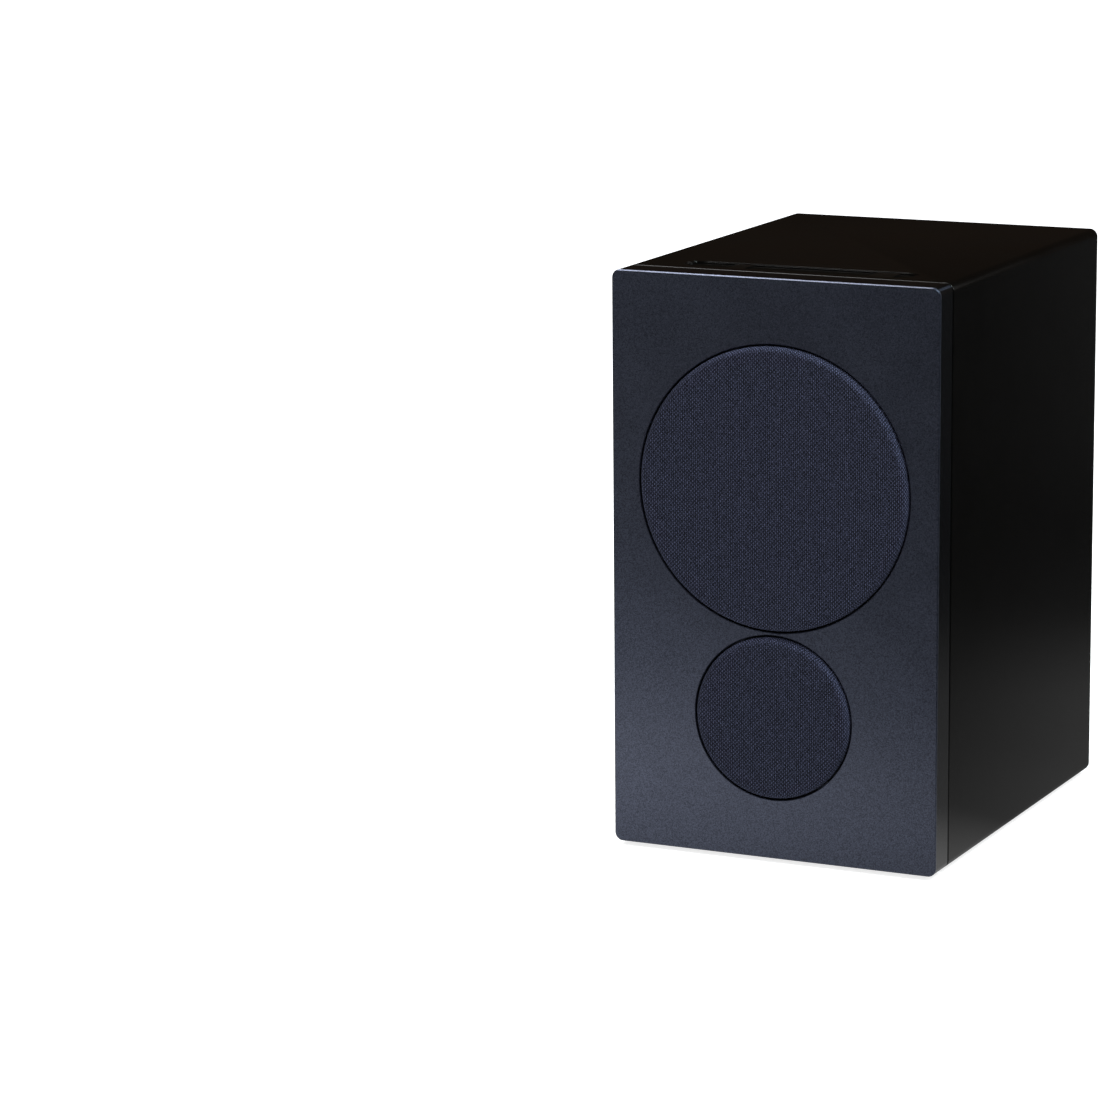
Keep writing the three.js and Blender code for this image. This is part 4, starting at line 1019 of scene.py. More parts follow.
# %% One screw, used many times
def screw_mesh(name, head_radius, head_height, shank_radius, length):
    """A screw along +Y whose head's underside is at zero, in millimetres."""
    dome = [(head_radius * math.cos(a), -head_height * 0.45 - head_height * 0.55 * math.sin(a))
            for a in spread(0, math.pi / 2, 8)][::-1]
    dome[0] = (0, dome[0][1])
    thread = []
    turns = int(length / 1.1)
    for i in range(turns):
        y = 1.0 + i * (length - 2.2) / turns
        thread += [(shank_radius * 0.82, y), (shank_radius, y + 0.35), (shank_radius * 0.82, y + 0.7)]
    outline = [*dome, (head_radius, 0), (shank_radius * 0.82, 0), *thread,
               (shank_radius * 0.7, length - 1), (0, length)]
    made = turned(name, outline, (0, 0), sides=36, crease=40)
    reach, thick = head_radius * 0.52, head_radius * 0.14
    depth = -head_height * 0.35
    cut(made, block((-reach, -head_height - 1, -thick), (reach, depth, thick)),
        block((-thick, -head_height - 1, -reach), (thick, depth, reach)))
    return made


def placed_screws(prefix, nodes, template, at_back=False):
    """One object for each CAD screw, all with the template's mesh, each turned a bit further."""
    template.data.materials.append(finish["black_steel"])
    for i, node in enumerate(nodes):
        centre = middle(node)
        if at_back:
            underside = high(node).y - HEADS[prefix]
            turn = Matrix.Rotation(math.pi, 4, "Z")
        else:
            underside = low(node).y + HEADS[prefix]
            turn = Matrix.Rotation(0, 4, "Z")
        twist = Matrix.Rotation(math.radians(17 + 41 * i), 4, "Y")
        screw = bpy.data.objects.new(f"{prefix}_{i + 1}", template.data)
        bpy.context.scene.collection.objects.link(screw)
        screw.matrix_world = (Matrix.Translation(Vector((centre.x, underside, centre.z)) * MM)
                              @ turn @ twist)
        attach(screw, "speaker")
        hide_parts(node)
        made_pieces.append(screw.name)
    bpy.data.objects.remove(template)


# %% Screws of both drivers and of the amplifier plate
HEADS = {"bass_screw": 2.2, "treble_screw": 1.6, "plate_screw_rear": 1.5}
placed_screws("bass_screw", [f"woofer_screw_{i}" for i in (1, 2, 3, 4)],
              screw_mesh("bass_screw_shape", 3.6, HEADS["bass_screw"], 1.9, 12.4))
placed_screws("treble_screw", [f"tweeter_screw_{i}" for i in (1, 2, 3)],
              screw_mesh("treble_screw_shape", 2.4, HEADS["treble_screw"], 1.3, 11.9))
placed_screws("plate_screw_rear", [f"plate_screw_{i}" for i in (1, 2, 3, 4)],
              screw_mesh("plate_screw_shape", 2.7, HEADS["plate_screw_rear"], 1.3, 7),
              at_back=True)
print("screws:", sum("screw" in name for name in made_pieces))

# %% [markdown]
# ## Tweeter
#
# The tweeter's faceplate is a shallow horn that leads the sound away from the small
# dome. The dome is silk, coated to keep its shape, and a narrow roll holds it. Behind
# come the coil, the top plate, a ring magnet, the yoke, and a closed cup of air.

# %% Faceplate
TREBLE_SCREWS = 40.8    # radius of the circle on which the screws and the grille's pegs lie
horn = [(17 + 19 * s, 13.3 - 2.8 * (1 - (1 - s) ** 1.8)) for s in spread(0, 1, 16)]
faceplate = driver_piece("treble_faceplate", [*horn, (43.5, 10.5, 0.5), (43.5, 14.7, 0.3),
                                              (17, 14.7, 0.3)], TREBLE)
cut(faceplate, *rim_holes(TREBLE, TREBLE_SCREWS, 3, 1.65, 3, 30, 1.45))
mount(faceplate, "speaker", "tweeter_faceplate", "black_plastic")

# %% Dome, coil and roll
dome = driver_piece("treble_dome", dome_points(12.5, 4.5, 0.5, 13.3), TREBLE, closed=False,
                    crease=60)
mount(dome, "tweeter_dome_assembly", "tweeter_dome", "silk_dome")
treble_coil = driver_piece("treble_voice_coil", [(12, 14.1), (12.5, 14.1), (12.5, 19.5),
                                                 (12, 19.5)], TREBLE, 0.08, sides=96)
mount(treble_coil, "tweeter_dome_assembly", "tweeter_voice_coil", "copper")
roll = driver_piece("treble_surround", [*arc(14.8, 13.7, 1.85, 180, 360, 20),
                                        *arc(14.8, 13.7, 1.35, 360, 180, 20)], TREBLE,
                    crease=60)
mount_flexing(roll, "tweeter_surround", "rubber")

# %% Tweeter motor and rear cup
treble_motor = {
    "treble_top_plate": ("tweeter_top_plate", "steel",
                         [(13.4, 15), (30, 15), (30, 18), (13.4, 18)], 0.4),
    "treble_magnet": ("tweeter_magnet", "ferrite",
                      [(16, 18.3), (34, 18.3), (34, 26.3), (16, 26.3)], 0.9),
    "treble_yoke": ("tweeter_yoke", "steel",
                    [(0, 15.5), (11.1, 15.5), (11.1, 26.6), (30, 26.6), (30, 30), (0, 30)], 0.6),
    "treble_rear_cup": ("tweeter_rear_cup", "black_plastic",
                        [(0, 46), (22, 46, 2.5), (22, 30.3), (20, 30.3), (20, 43.5, 1.5),
                         (0, 43.5)], 0.3),
}
for name, (node, slot_name, points, radius) in treble_motor.items():
    mount(driver_piece(name, points, TREBLE, radius, sides=96), "speaker", node, slot_name)
print("tweeter pieces:", sum("treble" in name for name in made_pieces))

# %% [markdown]
# ## Grille frames
#
# Under each cloth is a moulded frame: a broad rim, spokes and rings that keep the cloth
# from being pushed in, and three pegs behind that snap into the driver's rim. The parts
# are joined into one mesh.


# %% Grille frames
BASS_CLOTH, TREBLE_CLOTH = 75.5, 43.5    # outer radii of the covered grilles
UNDER_CLOTH = 0.9                        # how much smaller the frame is than its cloth


def grille_frame(name, z, cloth, rings, spokes, circle, first_peg, peg_radius, peg_end):
    outer = cloth - UNDER_CLOTH
    inner = outer - 6.2
    rim = driver_piece("tool", [(inner, -1.6), (outer - 2.9, -1.6, 1.4), (outer, 1.3, 1.4),
                                (outer, 4.2, 0.5), (inner, 4.2, 0.5)], z, 0.4)
    hoops = [driver_piece("tool", [(r - 1.5, -1.6), (r + 1.5, -1.6), (r + 1.5, 0.2),
                                   (r - 1.5, 0.2)], z, 0.3, sides=96) for r in rings]
    bars = [turned_round(block((rings[0], FACE - 1.6, z - 1.5), (inner + 1, FACE + 0.2, z + 1.5)),
                         360 / spokes * i, z) for i in range(spokes)]
    pegs = [rod(peg_radius, FACE + 3.2, FACE + peg_end, (x, z + dz), sides=24, ease=0.4)
            for x, dz in on_circle(circle, 3, first_peg)]
    made = fused(rim, *hoops, *bars, *pegs)
    made.name = name
    return eased(made, 0.15)


bass_frame = grille_frame("bass_grille_frame", BASS, BASS_CLOTH, [13, 40], 6, BASS_SCREWS, 45,
                          1.5, 15.7)
mount(bass_frame, "woofer_grille", "woofer_grille_frame", "black_plastic")
treble_frame = grille_frame("treble_grille_frame", TREBLE, TREBLE_CLOTH, [14], 3,
                            TREBLE_SCREWS, 30, 1.1, 13.7)
mount(treble_frame, "tweeter_grille", "tweeter_grille_frame", "black_plastic")
print("frame faces:", len(bass_frame.data.polygons), len(treble_frame.data.polygons))

# %% [markdown]
# ## Grille cloths
#
# A round of cloth is laid over the frame, pulled tight, folded round the rim and glued
# behind. So it is one thin sheet: a flat face, a rounded shoulder, a straight side and a
# hem that turns in behind the rim. A stretched cloth is never quite flat where a spoke
# lies under it and the hem never quite even, and both are drawn here as fractions of a
# millimetre.


# %% Stretched cloth
CLOTH_SHOULDER = 3.5    # radius of the turn from face to side
CLOTH_SIDE = 2.6        # straight part of the side
CLOTH_FOLD = 0.6        # radius of the turn behind the rim
HEM = 5.5


def stretched_cloth(name, z, outer):
    """One skin over the face, round the shoulder and in behind the rim."""
    shoulder_end = CLOTH_SHOULDER - CLOTH_PROUD
    side_end = shoulder_end + CLOTH_SIDE
    fold_end = side_end + CLOTH_FOLD
    face = [(r, -CLOTH_PROUD) for r in spread(0.0, outer - CLOTH_SHOULDER, 24)]
    shoulder = arc(outer - CLOTH_SHOULDER, shoulder_end, CLOTH_SHOULDER, -90, 0, 10)[1:]
    side = [(outer, t) for t in spread(shoulder_end, side_end, 5)[1:]]
    fold = arc(outer - CLOTH_FOLD, side_end, CLOTH_FOLD, 0, 90, 4)[1:]
    back = [(outer - CLOTH_FOLD - h, fold_end + 0.25 * min(h, 1))
            for h in spread(0.0, HEM, 6)[1:]]
    points = driver_outline([*face, *shoulder, *side, *fold, *back])
    made = turned(name, points, (0, z), sides=192, closed=False, crease=70)
    for vertex in made.data.vertices:
        x, y, up = vertex.co.x / MM, vertex.co.y / MM - FACE, vertex.co.z / MM - z
        radius, angle = math.hypot(x, up), math.atan2(up, x)
        slack = (0.05 * math.sin(3 * angle + 1) + 0.04 * math.sin(7 * angle)
                 + 0.03 * math.sin(radius * 0.21))
        if y < 1 - CLOTH_PROUD:
            vertex.co.y += abs(slack) * MM * min(1, radius / 10)
        elif y > fold_end + 0.05:
            vertex.co.y += 0.12 * (1 + math.sin(31 * angle) * math.sin(9 * angle)) * MM
    return made


bass_cloth = stretched_cloth("bass_grille_cloth", BASS, BASS_CLOTH)
mount(bass_cloth, "woofer_grille", "woofer_grille_cloth", "grille_cloth")
treble_cloth = stretched_cloth("treble_grille_cloth", TREBLE, TREBLE_CLOTH)
mount(treble_cloth, "tweeter_grille", "tweeter_grille_cloth", "grille_cloth")

# %% [markdown]
# ## Key strip
#
# A long narrow bezel with round ends lies flush in the top. Three polished keys lie a
# little lower in it: a short one, a long rocker and a very short one, with a bridge of
# the bezel between each pair. The end keys share the bezel's round ends. So each key is a
# slice of one long stadium, made slightly smaller than its window.

# %% Key places along the strip
KEYS = {"power": (-64, -38), "volume": (-29, 41), "source": (54, 64)}
BRIM = 1.5    # the bezel's rim outside the windows
BEZEL_TOP, BEZEL_BOTTOM = high("control_bezel").z, low("control_bezel").z
KEY_TOP, KEY_THICK = high("power_key").z, 1.7


def strip_slice(inset, start, end, bottom, top):
    """The strip's inner outline between two places along it."""
    less = 2 * (BRIM + inset)
    made = stadium(STRIP_LENGTH - less, STRIP_WIDTH - less, bottom, top)
    between_ends = block((start + inset, STRIP_Y - 20, bottom - 1),
                         (end - inset, STRIP_Y + 20, top + 1))
    return combined(made, [between_ends], "INTERSECT")


# %% Bezel and keys
bezel = stadium(STRIP_LENGTH, STRIP_WIDTH, BEZEL_BOTTOM, BEZEL_TOP, (0.1, 0.08))
bezel.name = "key_bezel"
cut(bezel, *[strip_slice(0, a, b, BEZEL_BOTTOM - 1, BEZEL_TOP + 1) for a, b in KEYS.values()])
eased(bezel, 0.06)
mount(bezel, "speaker", "control_bezel", "black_plastic", finish["bezel_plastic"])


def finished_key(name, node, span, stems, body):
    made = strip_slice(0.35, *span, KEY_TOP - KEY_THICK, KEY_TOP)
    posts = [rod(1.8, low(node).z, KEY_TOP - 1, (x, STRIP_Y), "Z", 24) for x in stems]
    fused(made, *posts)
    made.name = name
    eased(made, 0.4, steps=3)
    return mount(made, body, node, "gloss_key")


finished_key("left_key", "power_key", KEYS["power"], [-51], "power_key")
finished_key("middle_rocker_key", "volume_rocker", KEYS["volume"], [-22, 34], "volume_rocker")
finished_key("right_key", "source_key", KEYS["source"], [58], "source_key")
print("keys lie", round(BEZEL_TOP - KEY_TOP, 2), "mm below the bezel")

# %% [markdown]
# ## Amplifier plate and heat sink
#
# The plate is punched from steel sheet and painted, so its holes have crisp edges with a
# tiny radius. The heat sink is an aluminium extrusion: a comb of upright fins on a base,
# cut to length and anodised black.


# %% Outline of the mains inlet
def inlet_outline(width, height, x, z):
    """A rectangle with its two upper corners cut off."""
    c = height * 0.3
    corners = [(-width / 2, -height / 2), (width / 2, -height / 2), (width / 2, height / 2 - c),
               (width / 2 - c, height / 2), (-width / 2 + c, height / 2),
               (-width / 2, height / 2 - c)]
    return [(x + a, z + b) for a, b in softened(corners, 1.0, steps=3)]


# %% Plate with its openings
PHONO = (middle("phono_sockets").x, middle("phono_sockets").z)
AUX = (middle("aux_socket").x, middle("aux_socket").z)
LINK = (middle("link_socket").x, middle("link_socket").z)
INLET = (middle("mains_inlet").x, middle("mains_inlet").z)
SWITCH = (middle("power_switch_frame").x, middle("power_switch_frame").z)
PAIRING = (middle("pairing_button").x, middle("pairing_button").z)
SLIDE = (middle("power_switch_frame").x, middle("channel_slider").z)
SCREWS_ACROSS, SCREWS_UP = 57.5, 70.5    # the plate's screws, from its middle
hole = (PLATE_LOW.y - 1, BACK + 1)
plate = slab("amplifier_back_plate", PLATE_SIZE, 5, (0, PLATE_MIDDLE), PLATE_LOW.y, BACK,
             (0.3, 0.5))
plate_screws = [(sx * SCREWS_ACROSS, PLATE_MIDDLE + sz * SCREWS_UP)
                for sx in (-1, 1) for sz in (-1, 1)]
cut(plate,
    slab("tool", (12.6, 30.6), 0.4, PHONO, *hole, (0, 0)),
    rod(3.9, *hole, AUX), rod(8.8, *hole, LINK, sides=48), rod(3.05, *hole, PAIRING),
    slab("tool", (8.1, 4.7), 0.5, SLIDE, *hole, (0, 0)),
    extruded("tool", inlet_outline(27.6, 20.2, *INLET), *hole),
    slab("tool", (15.6, 21.2), 0.6, SWITCH, *hole, (0, 0)),
    *[rod(1.65, *hole, place, sides=20) for place in plate_screws])
eased(plate, 0.15)
mount(plate, "speaker", "amplifier_plate", "black_steel")

# %% Heat sink
sink_low, sink_high = low("heat_sink"), high("heat_sink")
FINS, FIN, BASE = 13, 1.6, 3    # how many fins, their thickness and that of the base
pitch = (sink_high.x - sink_low.x - FIN) / (FINS - 1)
comb = [(sink_low.x, sink_low.y), (sink_high.x, sink_low.y)]
for i in reversed(range(FINS)):
    left = sink_low.x + i * pitch
    comb += [(left + FIN, sink_low.y + BASE)] if i < FINS - 1 else []
    comb += [(left + FIN - 0.25, sink_high.y), (left + 0.25, sink_high.y)]
    comb += [(left, sink_low.y + BASE)] if i > 0 else []
heat_sink = extruded("finned_heat_sink", softened(comb, 0.45, steps=3), sink_low.z, sink_high.z,
                     "Z")
eased(heat_sink, 0.2)
mount(heat_sink, "speaker", "heat_sink", "black_aluminium")
print("fins every", round(pitch, 2), "mm")

# %% [markdown]
# ## Sockets
#
# The phono sockets are two plated barrels in a moulded flange, each with a coloured
# insulator round its contact. The small round socket is held by a hexagonal nut. The
# multi-pin socket and the mains inlet are deep mouldings with metal pins inside. A piece
# that is made of several materials is several Blender objects here, which all stand for
# the same CAD node.

# %% Phono sockets
OUT = BACK + 0.3    # the flanges lie this close to the plate
phono_flange = slab("phono_flange", (16, 34), 2, PHONO, OUT, OUT + 1, (0.1, 0.4))
fused(phono_flange, block((PHONO[0] - 6, BACK - 14, PHONO[1] - 15),
                          (PHONO[0] + 6, OUT + 0.5, PHONO[1] + 15)))
eased(phono_flange, 0.15)
mount(phono_flange, "speaker", "phono_sockets", "black_plastic")
for side, colour in ((1, "white"), (-1, "red")):
    spot = (PHONO[0], PHONO[1] + side * 7.5)
    tip = high("phono_sockets").y
    barrel = turned(f"phono_barrel_{colour}",
                    softened([(2.9, OUT + 2), (2.9, tip), (4.15, tip), (4.15, OUT + 0.6),
                              (3.4, OUT + 0.6), (3.4, OUT + 2)], 0.25), spot, sides=64)
    mount(barrel, "speaker", "phono_sockets", "steel", connector["nickel"])
    insulator = turned(f"phono_insulator_{colour}",
                       softened([(1.7, OUT + 1.2), (1.7, tip - 1.6), (2.85, tip - 1.6),
                                 (2.85, OUT + 2.2), (5.4, OUT + 2.2), (5.4, OUT + 0.9),
                                 (1.7, OUT + 0.9)][::-1], 0.2), spot, sides=64)
    mount(insulator, "speaker", "phono_sockets", "black_plastic", connector[colour])
print("phono sockets at", [round(v, 1) for v in PHONO])

# %% Small round socket and multi-pin socket
aux_body = rod(3.6, BACK - 13, BACK + 2.6, AUX, sides=48, ease=0.3)
cut(aux_body, rod(1.8, BACK - 11, BACK + 4, AUX, sides=32))
aux_body.name = "audio_socket_body"
mount(aux_body, "speaker", "aux_socket", "black_plastic")
hexagon = [(AUX[0] + x, AUX[1] + z) for x, z in on_circle(4.6, 6, 0)]
aux_nut = extruded("audio_socket_nut", softened(hexagon, 0.35), OUT, BACK + 2.0)
cut(aux_nut, rod(3.65, OUT - 1, BACK + 4, AUX, sides=48))
eased(aux_nut, 0.2)
mount(aux_nut, "speaker", "aux_socket", "steel", connector["nickel"])
link_points = [(0, BACK - 13), (8.5, BACK - 13, 0.3), (8.5, OUT, 0.1), (10.5, OUT, 0.1),
               (10.5, OUT + 1.6, 0.6), (6.9, OUT + 1.6, 0.3), (6.6, OUT + 1.2, 0.1),
               (6.6, OUT - 7.4, 0.3), (0, OUT - 7.4)]
link_body = turned("link_socket_body", softened(link_points, 0, closed=False), LINK, sides=80)
key_notch = block((LINK[0] - 1.2, OUT - 7.4, LINK[1] + 5.2), (LINK[0] + 1.2, OUT + 0.4, LINK[1] + 7))
mount(fused(link_body, key_notch), "speaker", "link_socket", "black_plastic")
link_pins = [rod(0.7, OUT - 8.4, OUT - 2.4, (LINK[0] + x, LINK[1] + z), sides=20, ease=0.3)
             for x, z in on_circle(3.3, 4, 45)]
mount(gathered("link_socket_pins", link_pins), "speaker", "link_socket", "steel",
      connector["brass"])

# %% Mains inlet
inlet_face, inlet_floor = OUT + 2, OUT - 14
inlet_body = slab("mains_inlet_body", (35, 24.6), 2, INLET, OUT, inlet_face, (0.1, 0.6))
fused(inlet_body, extruded("tool", inlet_outline(27, 19.6, *INLET), inlet_floor - 2.5, OUT + 0.5))
cut(inlet_body, extruded("tool", inlet_outline(23.2, 15.8, *INLET), inlet_floor, inlet_face + 1))
eased(inlet_body, 0.25)
mount(inlet_body, "speaker", "mains_inlet", "black_plastic")
blades = [slab("tool", (2, 4), 0.4, (INLET[0] + x, INLET[1] + z), inlet_floor - 1,
               inlet_floor + 10, (0.1, 0.5)) for x, z in ((-7, -2), (0, 2), (7, -2))]
mount(gathered("mains_inlet_pins", blades), "speaker", "mains_inlet", "steel",
      connector["nickel"])
print("inlet pocket is", round(inlet_face - inlet_floor, 1), "mm deep")

# %% [markdown]
# ## Switches on the back
#
# The power switch is a rocker in a frame. Its two faces meet in a low ridge and its sides
# are arcs round the pivot, so that it clears the frame at any tilt. It is drawn switched
# off. The slide switch has a small ribbed knob, and the pairing button is a plain round
# cap with a shallow dish for a fingertip.

# %% Switch frame
frame_face = OUT + 1.8
switch_frame = slab("switch_frame", (19, 24.6), 1.5, SWITCH, OUT, frame_face, (0.1, 0.5))
fused(switch_frame, block((SWITCH[0] - 7.5, BACK - 17, SWITCH[1] - 10.3),
                          (SWITCH[0] + 7.5, OUT + 0.5, SWITCH[1] + 10.3)))
cut(switch_frame, block((SWITCH[0] - 5.7, BACK - 15, SWITCH[1] - 8.85),
                        (SWITCH[0] + 5.7, frame_face + 1, SWITCH[1] + 8.85)))
eased(switch_frame, 0.25)
mount(switch_frame, "speaker", "power_switch_frame", "black_plastic")

# %% Rocker
TILT, SWING, SHOULDER = math.radians(12), 8.5, math.radians(20)
ridge = SWING * (math.sin(SHOULDER) + math.cos(SHOULDER) * math.tan(TILT))
ear = (SWING * math.cos(SHOULDER), SWING * math.sin(SHOULDER))
sag = 0.35
face_left = [(-ear[0] * s, ridge + (ear[1] - ridge) * s - sag * math.sin(math.pi * s))
             for s in spread(0, 1, 9)]
face_right = [(-a, b) for a, b in reversed(face_left)]
side_left = arc(0, 0, SWING, 160, 200, 8)[1:]
side_right = arc(0, 0, SWING, -20, 20, 8)[:-1]
profile = [*face_left, *side_left, (-2, -SWING * 0.7), (2, -SWING * 0.7), *side_right,
           *face_right[:-1]]
PIVOT = Vector((SWITCH[0], BACK - 4, SWITCH[1]))
rocker = extruded("power_rocker", [(b, a) for a, b in profile], -5.35, 5.35, "X", crease=25)
turn = Matrix.Translation(PIVOT * MM) @ Matrix.Rotation(-TILT, 4, "X")
rocker.data.transform(turn)
eased(rocker, 0.35, steps=3)
mount(rocker, "power_switch_rocker", "power_switch_rocker", "gloss_key",
      finish["black_plastic"])
print("rocker's middle", [round(v, 1) for v in middle("power_switch_rocker")])

# %% Slide switch and pairing button
slide_low, slide_high = low("channel_slider"), high("channel_slider")
knob_x = SLIDE[0] - 2
slider = slab("channel_slide_knob", (3.4, 4), 0.4, (knob_x, SLIDE[1]), BACK - 3.8, slide_high.y,
              (0.1, 0.3))
fused(slider, block((slide_low.x, slide_low.y, slide_low.z),
                    (slide_high.x, slide_low.y + 1.4, slide_high.z)))
cut(slider, *[block((knob_x + x - 0.25, slide_high.y - 0.4, SLIDE[1] - 3),
                    (knob_x + x + 0.25, slide_high.y + 1, SLIDE[1] + 3)) for x in (-0.9, 0, 0.9)])
eased(slider, 0.1)
mount(slider, "channel_slider", "channel_slider", "black_plastic")
button_back, button_face = low("pairing_button").y, high("pairing_button").y
button = turned("pairing_cap", softened([(0, button_face - 0.25), (1.4, button_face - 0.12, 0.5),
                                         (2.7, button_face, 0.35), (2.7, button_back + 1.5, 0),
                                         (4, button_back + 1.5, 0.2), (4, button_back, 0.2),
                                         (0, button_back)], 0, closed=False), PAIRING, sides=64)
mount(button, "pairing_button", "pairing_button", "black_plastic")

# %% [markdown]
# ## Pieces kept from the CAD model
#
# The boards, the transformer and the leads are deep inside, where nothing shows them. The
# CAD shapes are already right, so they stay, with finer edges from modifiers and a real
# finish. Welding joins the separate triangles first, or a bevel would have no edges to
# work on.


# %% Finish the inner CAD pieces
def kept(node, slot_name, bevel=0.3, smooth=0):
    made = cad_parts[node]
    made.data.materials.clear()
    made.data.materials.append(finish[slot_name])
    weld = made.modifiers.new("weld", "WELD")
    weld.merge_threshold = 1e-6
    if smooth:
        step = made.modifiers.new("round", "SUBSURF")
        step.levels = step.render_levels = smooth
    if bevel:
        eased(made, bevel)
    for polygon in made.data.polygons:
        polygon.use_smooth = True
    return made


kept("control_board", "board")
kept("amplifier_board", "board")
kept("power_transformer", "copper", bevel=0, smooth=2)
kept("woofer_lead", "lead_sleeve", bevel=0, smooth=1)
kept("tweeter_lead", "lead_sleeve", bevel=0, smooth=1)
print("kept CAD pieces: 5")

# %% [markdown]
# ## Studio
#
# Product pictures of black objects are made on a white sweep with large soft lamps. What
# the eye reads as the shape of a black object is mostly what it mirrors, so the white
# table is let into the mirror image near the object and fades out further away. Seen
# directly, the table and the background are plain white. The world works the same way: a
# pale sky lights the speaker, but what is mirrored of it is a dim, warm room.


# %% Helpers for the studio's shaders
def distance(tree, place):
    node = tree.nodes.new("ShaderNodeVectorMath")
    node.operation = "LENGTH"
    tree.links.new(place, node.inputs[0])
    return node.outputs["Value"]


def greys(levels):
    return [(at, (level, level, level)) for at, level in levels]


def chosen_by_ray(tree, kind, others, these):
    """One shader for rays of a kind, and another for all the others."""
    node = tree.nodes.new("ShaderNodeMixShader")
    path = tree.nodes.new("ShaderNodeLightPath")
    tree.links.new(path.outputs[kind], node.inputs["Fac"])
    tree.links.new(others, node.inputs[1])
    tree.links.new(these, node.inputs[2])
    return node.outputs["Shader"]


# %% The table, seen directly and mirrored
TABLE_SIZE = 6.0        # metres from its middle to each side
MIRROR_REACH = 1.6      # how far the mirrored table fades out, in metres
MIRROR_OUTWARD = [(0.0, 1.0), (0.15, 0.85), (0.3, 0.18), (0.5, 0.07), (0.75, 0.12)]
MIRROR_ALONG = [(0.0, 1.6), (0.44, 0.16), (0.62, 0.12), (1.0, 0.1)]
MIRROR_SLANT = -0.484   # the bright left part reaches further right at the back


def seen_table(tree, place):
    """A white glow, a little weaker near the speaker, and a matt share for a soft shadow."""
    glow = tree.nodes.new("ShaderNodeEmission")
    tree.links.new(between(tree, distance(tree, place), 0.78, 1.1, 0.2, 0.9),
                   glow.inputs["Strength"])
    matt = tree.nodes.new("ShaderNodeBsdfDiffuse")
    matt.inputs["Color"].default_value = (0.8, 0.8, 0.8, 1)
    both = tree.nodes.new("ShaderNodeAddShader")
    tree.links.new(glow.outputs["Emission"], both.inputs[0])
    tree.links.new(matt.outputs["BSDF"], both.inputs[1])
    return both.outputs["Shader"]


def mirrored_table(tree, place):
    """Bright close to the speaker and in front of it, and dim elsewhere."""
    spot = parted(tree, place)
    moved = tree.nodes.new("ShaderNodeCombineXYZ")
    aside = between(tree, spot["Y"], 0.3, 0.0, -0.4, -0.1)
    tree.links.new(joined(tree, "ADD", spot["X"], aside), moved.inputs["X"])
    tree.links.new(spot["Y"], moved.inputs["Y"])
    outward = between(tree, distance(tree, moved.outputs["Vector"]), 0, 1, 0.1, MIRROR_REACH)
    along = between(tree, spot["Y"], 0, 1, -0.35, 0.45)
    across = joined(tree, "ADD", spot["X"], joined(tree, "MULTIPLY", spot["Y"], MIRROR_SLANT))
    strength = joined(tree, "MULTIPLY", between(tree, across, 2.0, 0.0, -0.5, 0.6),
                      ramp(tree, along, greys(MIRROR_ALONG)))
    glow = tree.nodes.new("ShaderNodeEmission")
    tree.links.new(ramp(tree, outward, greys(MIRROR_OUTWARD)), glow.inputs["Color"])
    tree.links.new(strength, glow.inputs["Strength"])
    return glow.outputs["Emission"]


def pale_table():
    material = bpy.data.materials.new("pale_table")
    material.use_nodes = True
    tree = material.node_tree
    tree.nodes.clear()
    place = tree.nodes.new("ShaderNodeTexCoord").outputs["Object"]
    surface = chosen_by_ray(tree, "Is Glossy Ray", seen_table(tree, place),
                            mirrored_table(tree, place))
    output = tree.nodes.new("ShaderNodeOutputMaterial")
    tree.links.new(surface, output.inputs["Surface"])
    return material


table_mesh = bpy.data.meshes.new("studio_floor")
table_mesh.from_pydata([(-TABLE_SIZE, -TABLE_SIZE, 0), (TABLE_SIZE, -TABLE_SIZE, 0),
                        (TABLE_SIZE, TABLE_SIZE, 0), (-TABLE_SIZE, TABLE_SIZE, 0)], [],
                       [(0, 1, 2, 3)])
table_mesh.materials.append(pale_table())
table = bpy.data.objects.new("studio_floor", table_mesh)
bpy.context.scene.collection.objects.link(table)


# %% World
def sky(tree, colour, strength):
    node = tree.nodes.new("ShaderNodeBackground")
    node.inputs["Color"].default_value = (*colour, 1)
    node.inputs["Strength"].default_value = strength
    return node.outputs["Background"]


world = bpy.data.worlds.new("studio")
bpy.context.scene.world = world
world.use_nodes = True
world_tree = world.node_tree
world_tree.nodes.clear()
room_light = sky(world_tree, (0.9, 0.95, 1.0), 0.25)
dark_room = sky(world_tree, (0.0155, 0.0105, 0.0073), 1.0)
backdrop = sky(world_tree, (1, 1, 1), 1.05)
lit = chosen_by_ray(world_tree, "Is Glossy Ray", room_light, dark_room)
world_output = world_tree.nodes.new("ShaderNodeOutputWorld")
world_tree.links.new(chosen_by_ray(world_tree, "Is Camera Ray", lit, backdrop),
                     world_output.inputs["Surface"])

# %% [markdown]
# ## Lamps
#
# Four round soft lamps light the speaker. One overhead and a larger, weaker one in front
# do most of the work. A small one to the right, a little cooler, picks out the shoulders
# of the grilles. The last one stands behind on the right and lights the sockets, so the
# back can be looked at too.


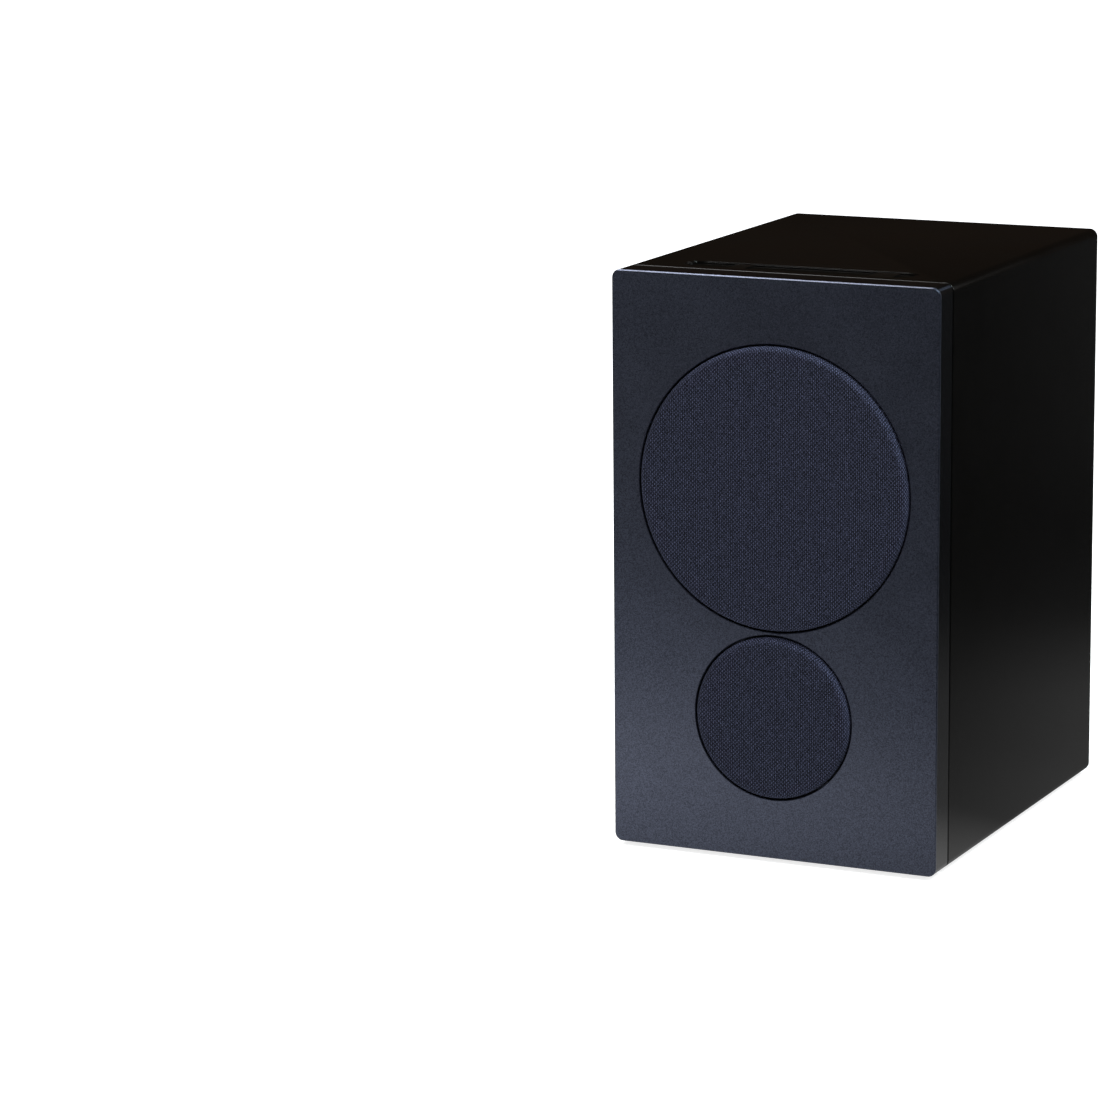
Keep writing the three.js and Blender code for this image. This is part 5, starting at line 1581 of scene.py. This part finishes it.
# %% Lamps
def soft_lamp(name, place, target, size, power, colour=(1, 1, 1)):
    lamp = bpy.data.lights.new(name, "AREA")
    lamp.shape, lamp.size, lamp.energy, lamp.color = "DISK", size, power, colour
    made = bpy.data.objects.new(name, lamp)
    made.location = place
    made.rotation_euler = (Vector(target) - Vector(place)).to_track_quat("-Z", "Y").to_euler()
    bpy.context.scene.collection.objects.link(made)
    return made


CENTRE = (0, 0, 0.15)
soft_lamp("overhead_lamp", (-0.9, -0.45, 2.0), CENTRE, 0.9, 24)
soft_lamp("front_lamp", (-0.6, -1.6, 1.9), CENTRE, 1.2, 15)
soft_lamp("right_lamp", (0.9, -0.2, 1.4), CENTRE, 0.4, 18, (0.82, 1.0, 1.0))
soft_lamp("back_lamp", (1.5, 1.0, 0.9), CENTRE, 0.9, 9)
bpy.context.scene.view_settings.view_transform = "Standard"

# %% [markdown]
# ## Camera
#
# A long lens from about two and a half metres, looking about 12 degrees down and 26
# degrees round from straight ahead. A long lens keeps the speaker's upright edges nearly
# parallel.

# %% Camera
CAMERA_PLACE = (0.8922, -2.2388, 0.6464)
HEADING = (-0.4354, 0.9002)    # which way it looks across the table
LENS, SENSOR = 146.58, 36
pitch_down, roll_angle = math.radians(11.74), math.radians(0.51)
look = Vector((HEADING[0] * math.cos(pitch_down), HEADING[1] * math.cos(pitch_down),
               -math.sin(pitch_down)))
right = look.cross(Vector((0, 0, 1))).normalized()
upward = right.cross(look).normalized()
up_rolled = upward * math.cos(roll_angle) + right * math.sin(roll_angle)
right_rolled = right * math.cos(roll_angle) - upward * math.sin(roll_angle)
camera_data = bpy.data.cameras.new("camera")
camera_data.lens, camera_data.sensor_width = LENS, SENSOR
camera = bpy.data.objects.new("camera", camera_data)
turn_of_camera = Matrix((right_rolled, up_rolled, -look)).transposed().to_4x4()
camera.matrix_world = Matrix.Translation(CAMERA_PLACE) @ turn_of_camera
bpy.context.scene.collection.objects.link(camera)
bpy.context.scene.camera = camera
print("camera looks", [round(v, 3) for v in look])
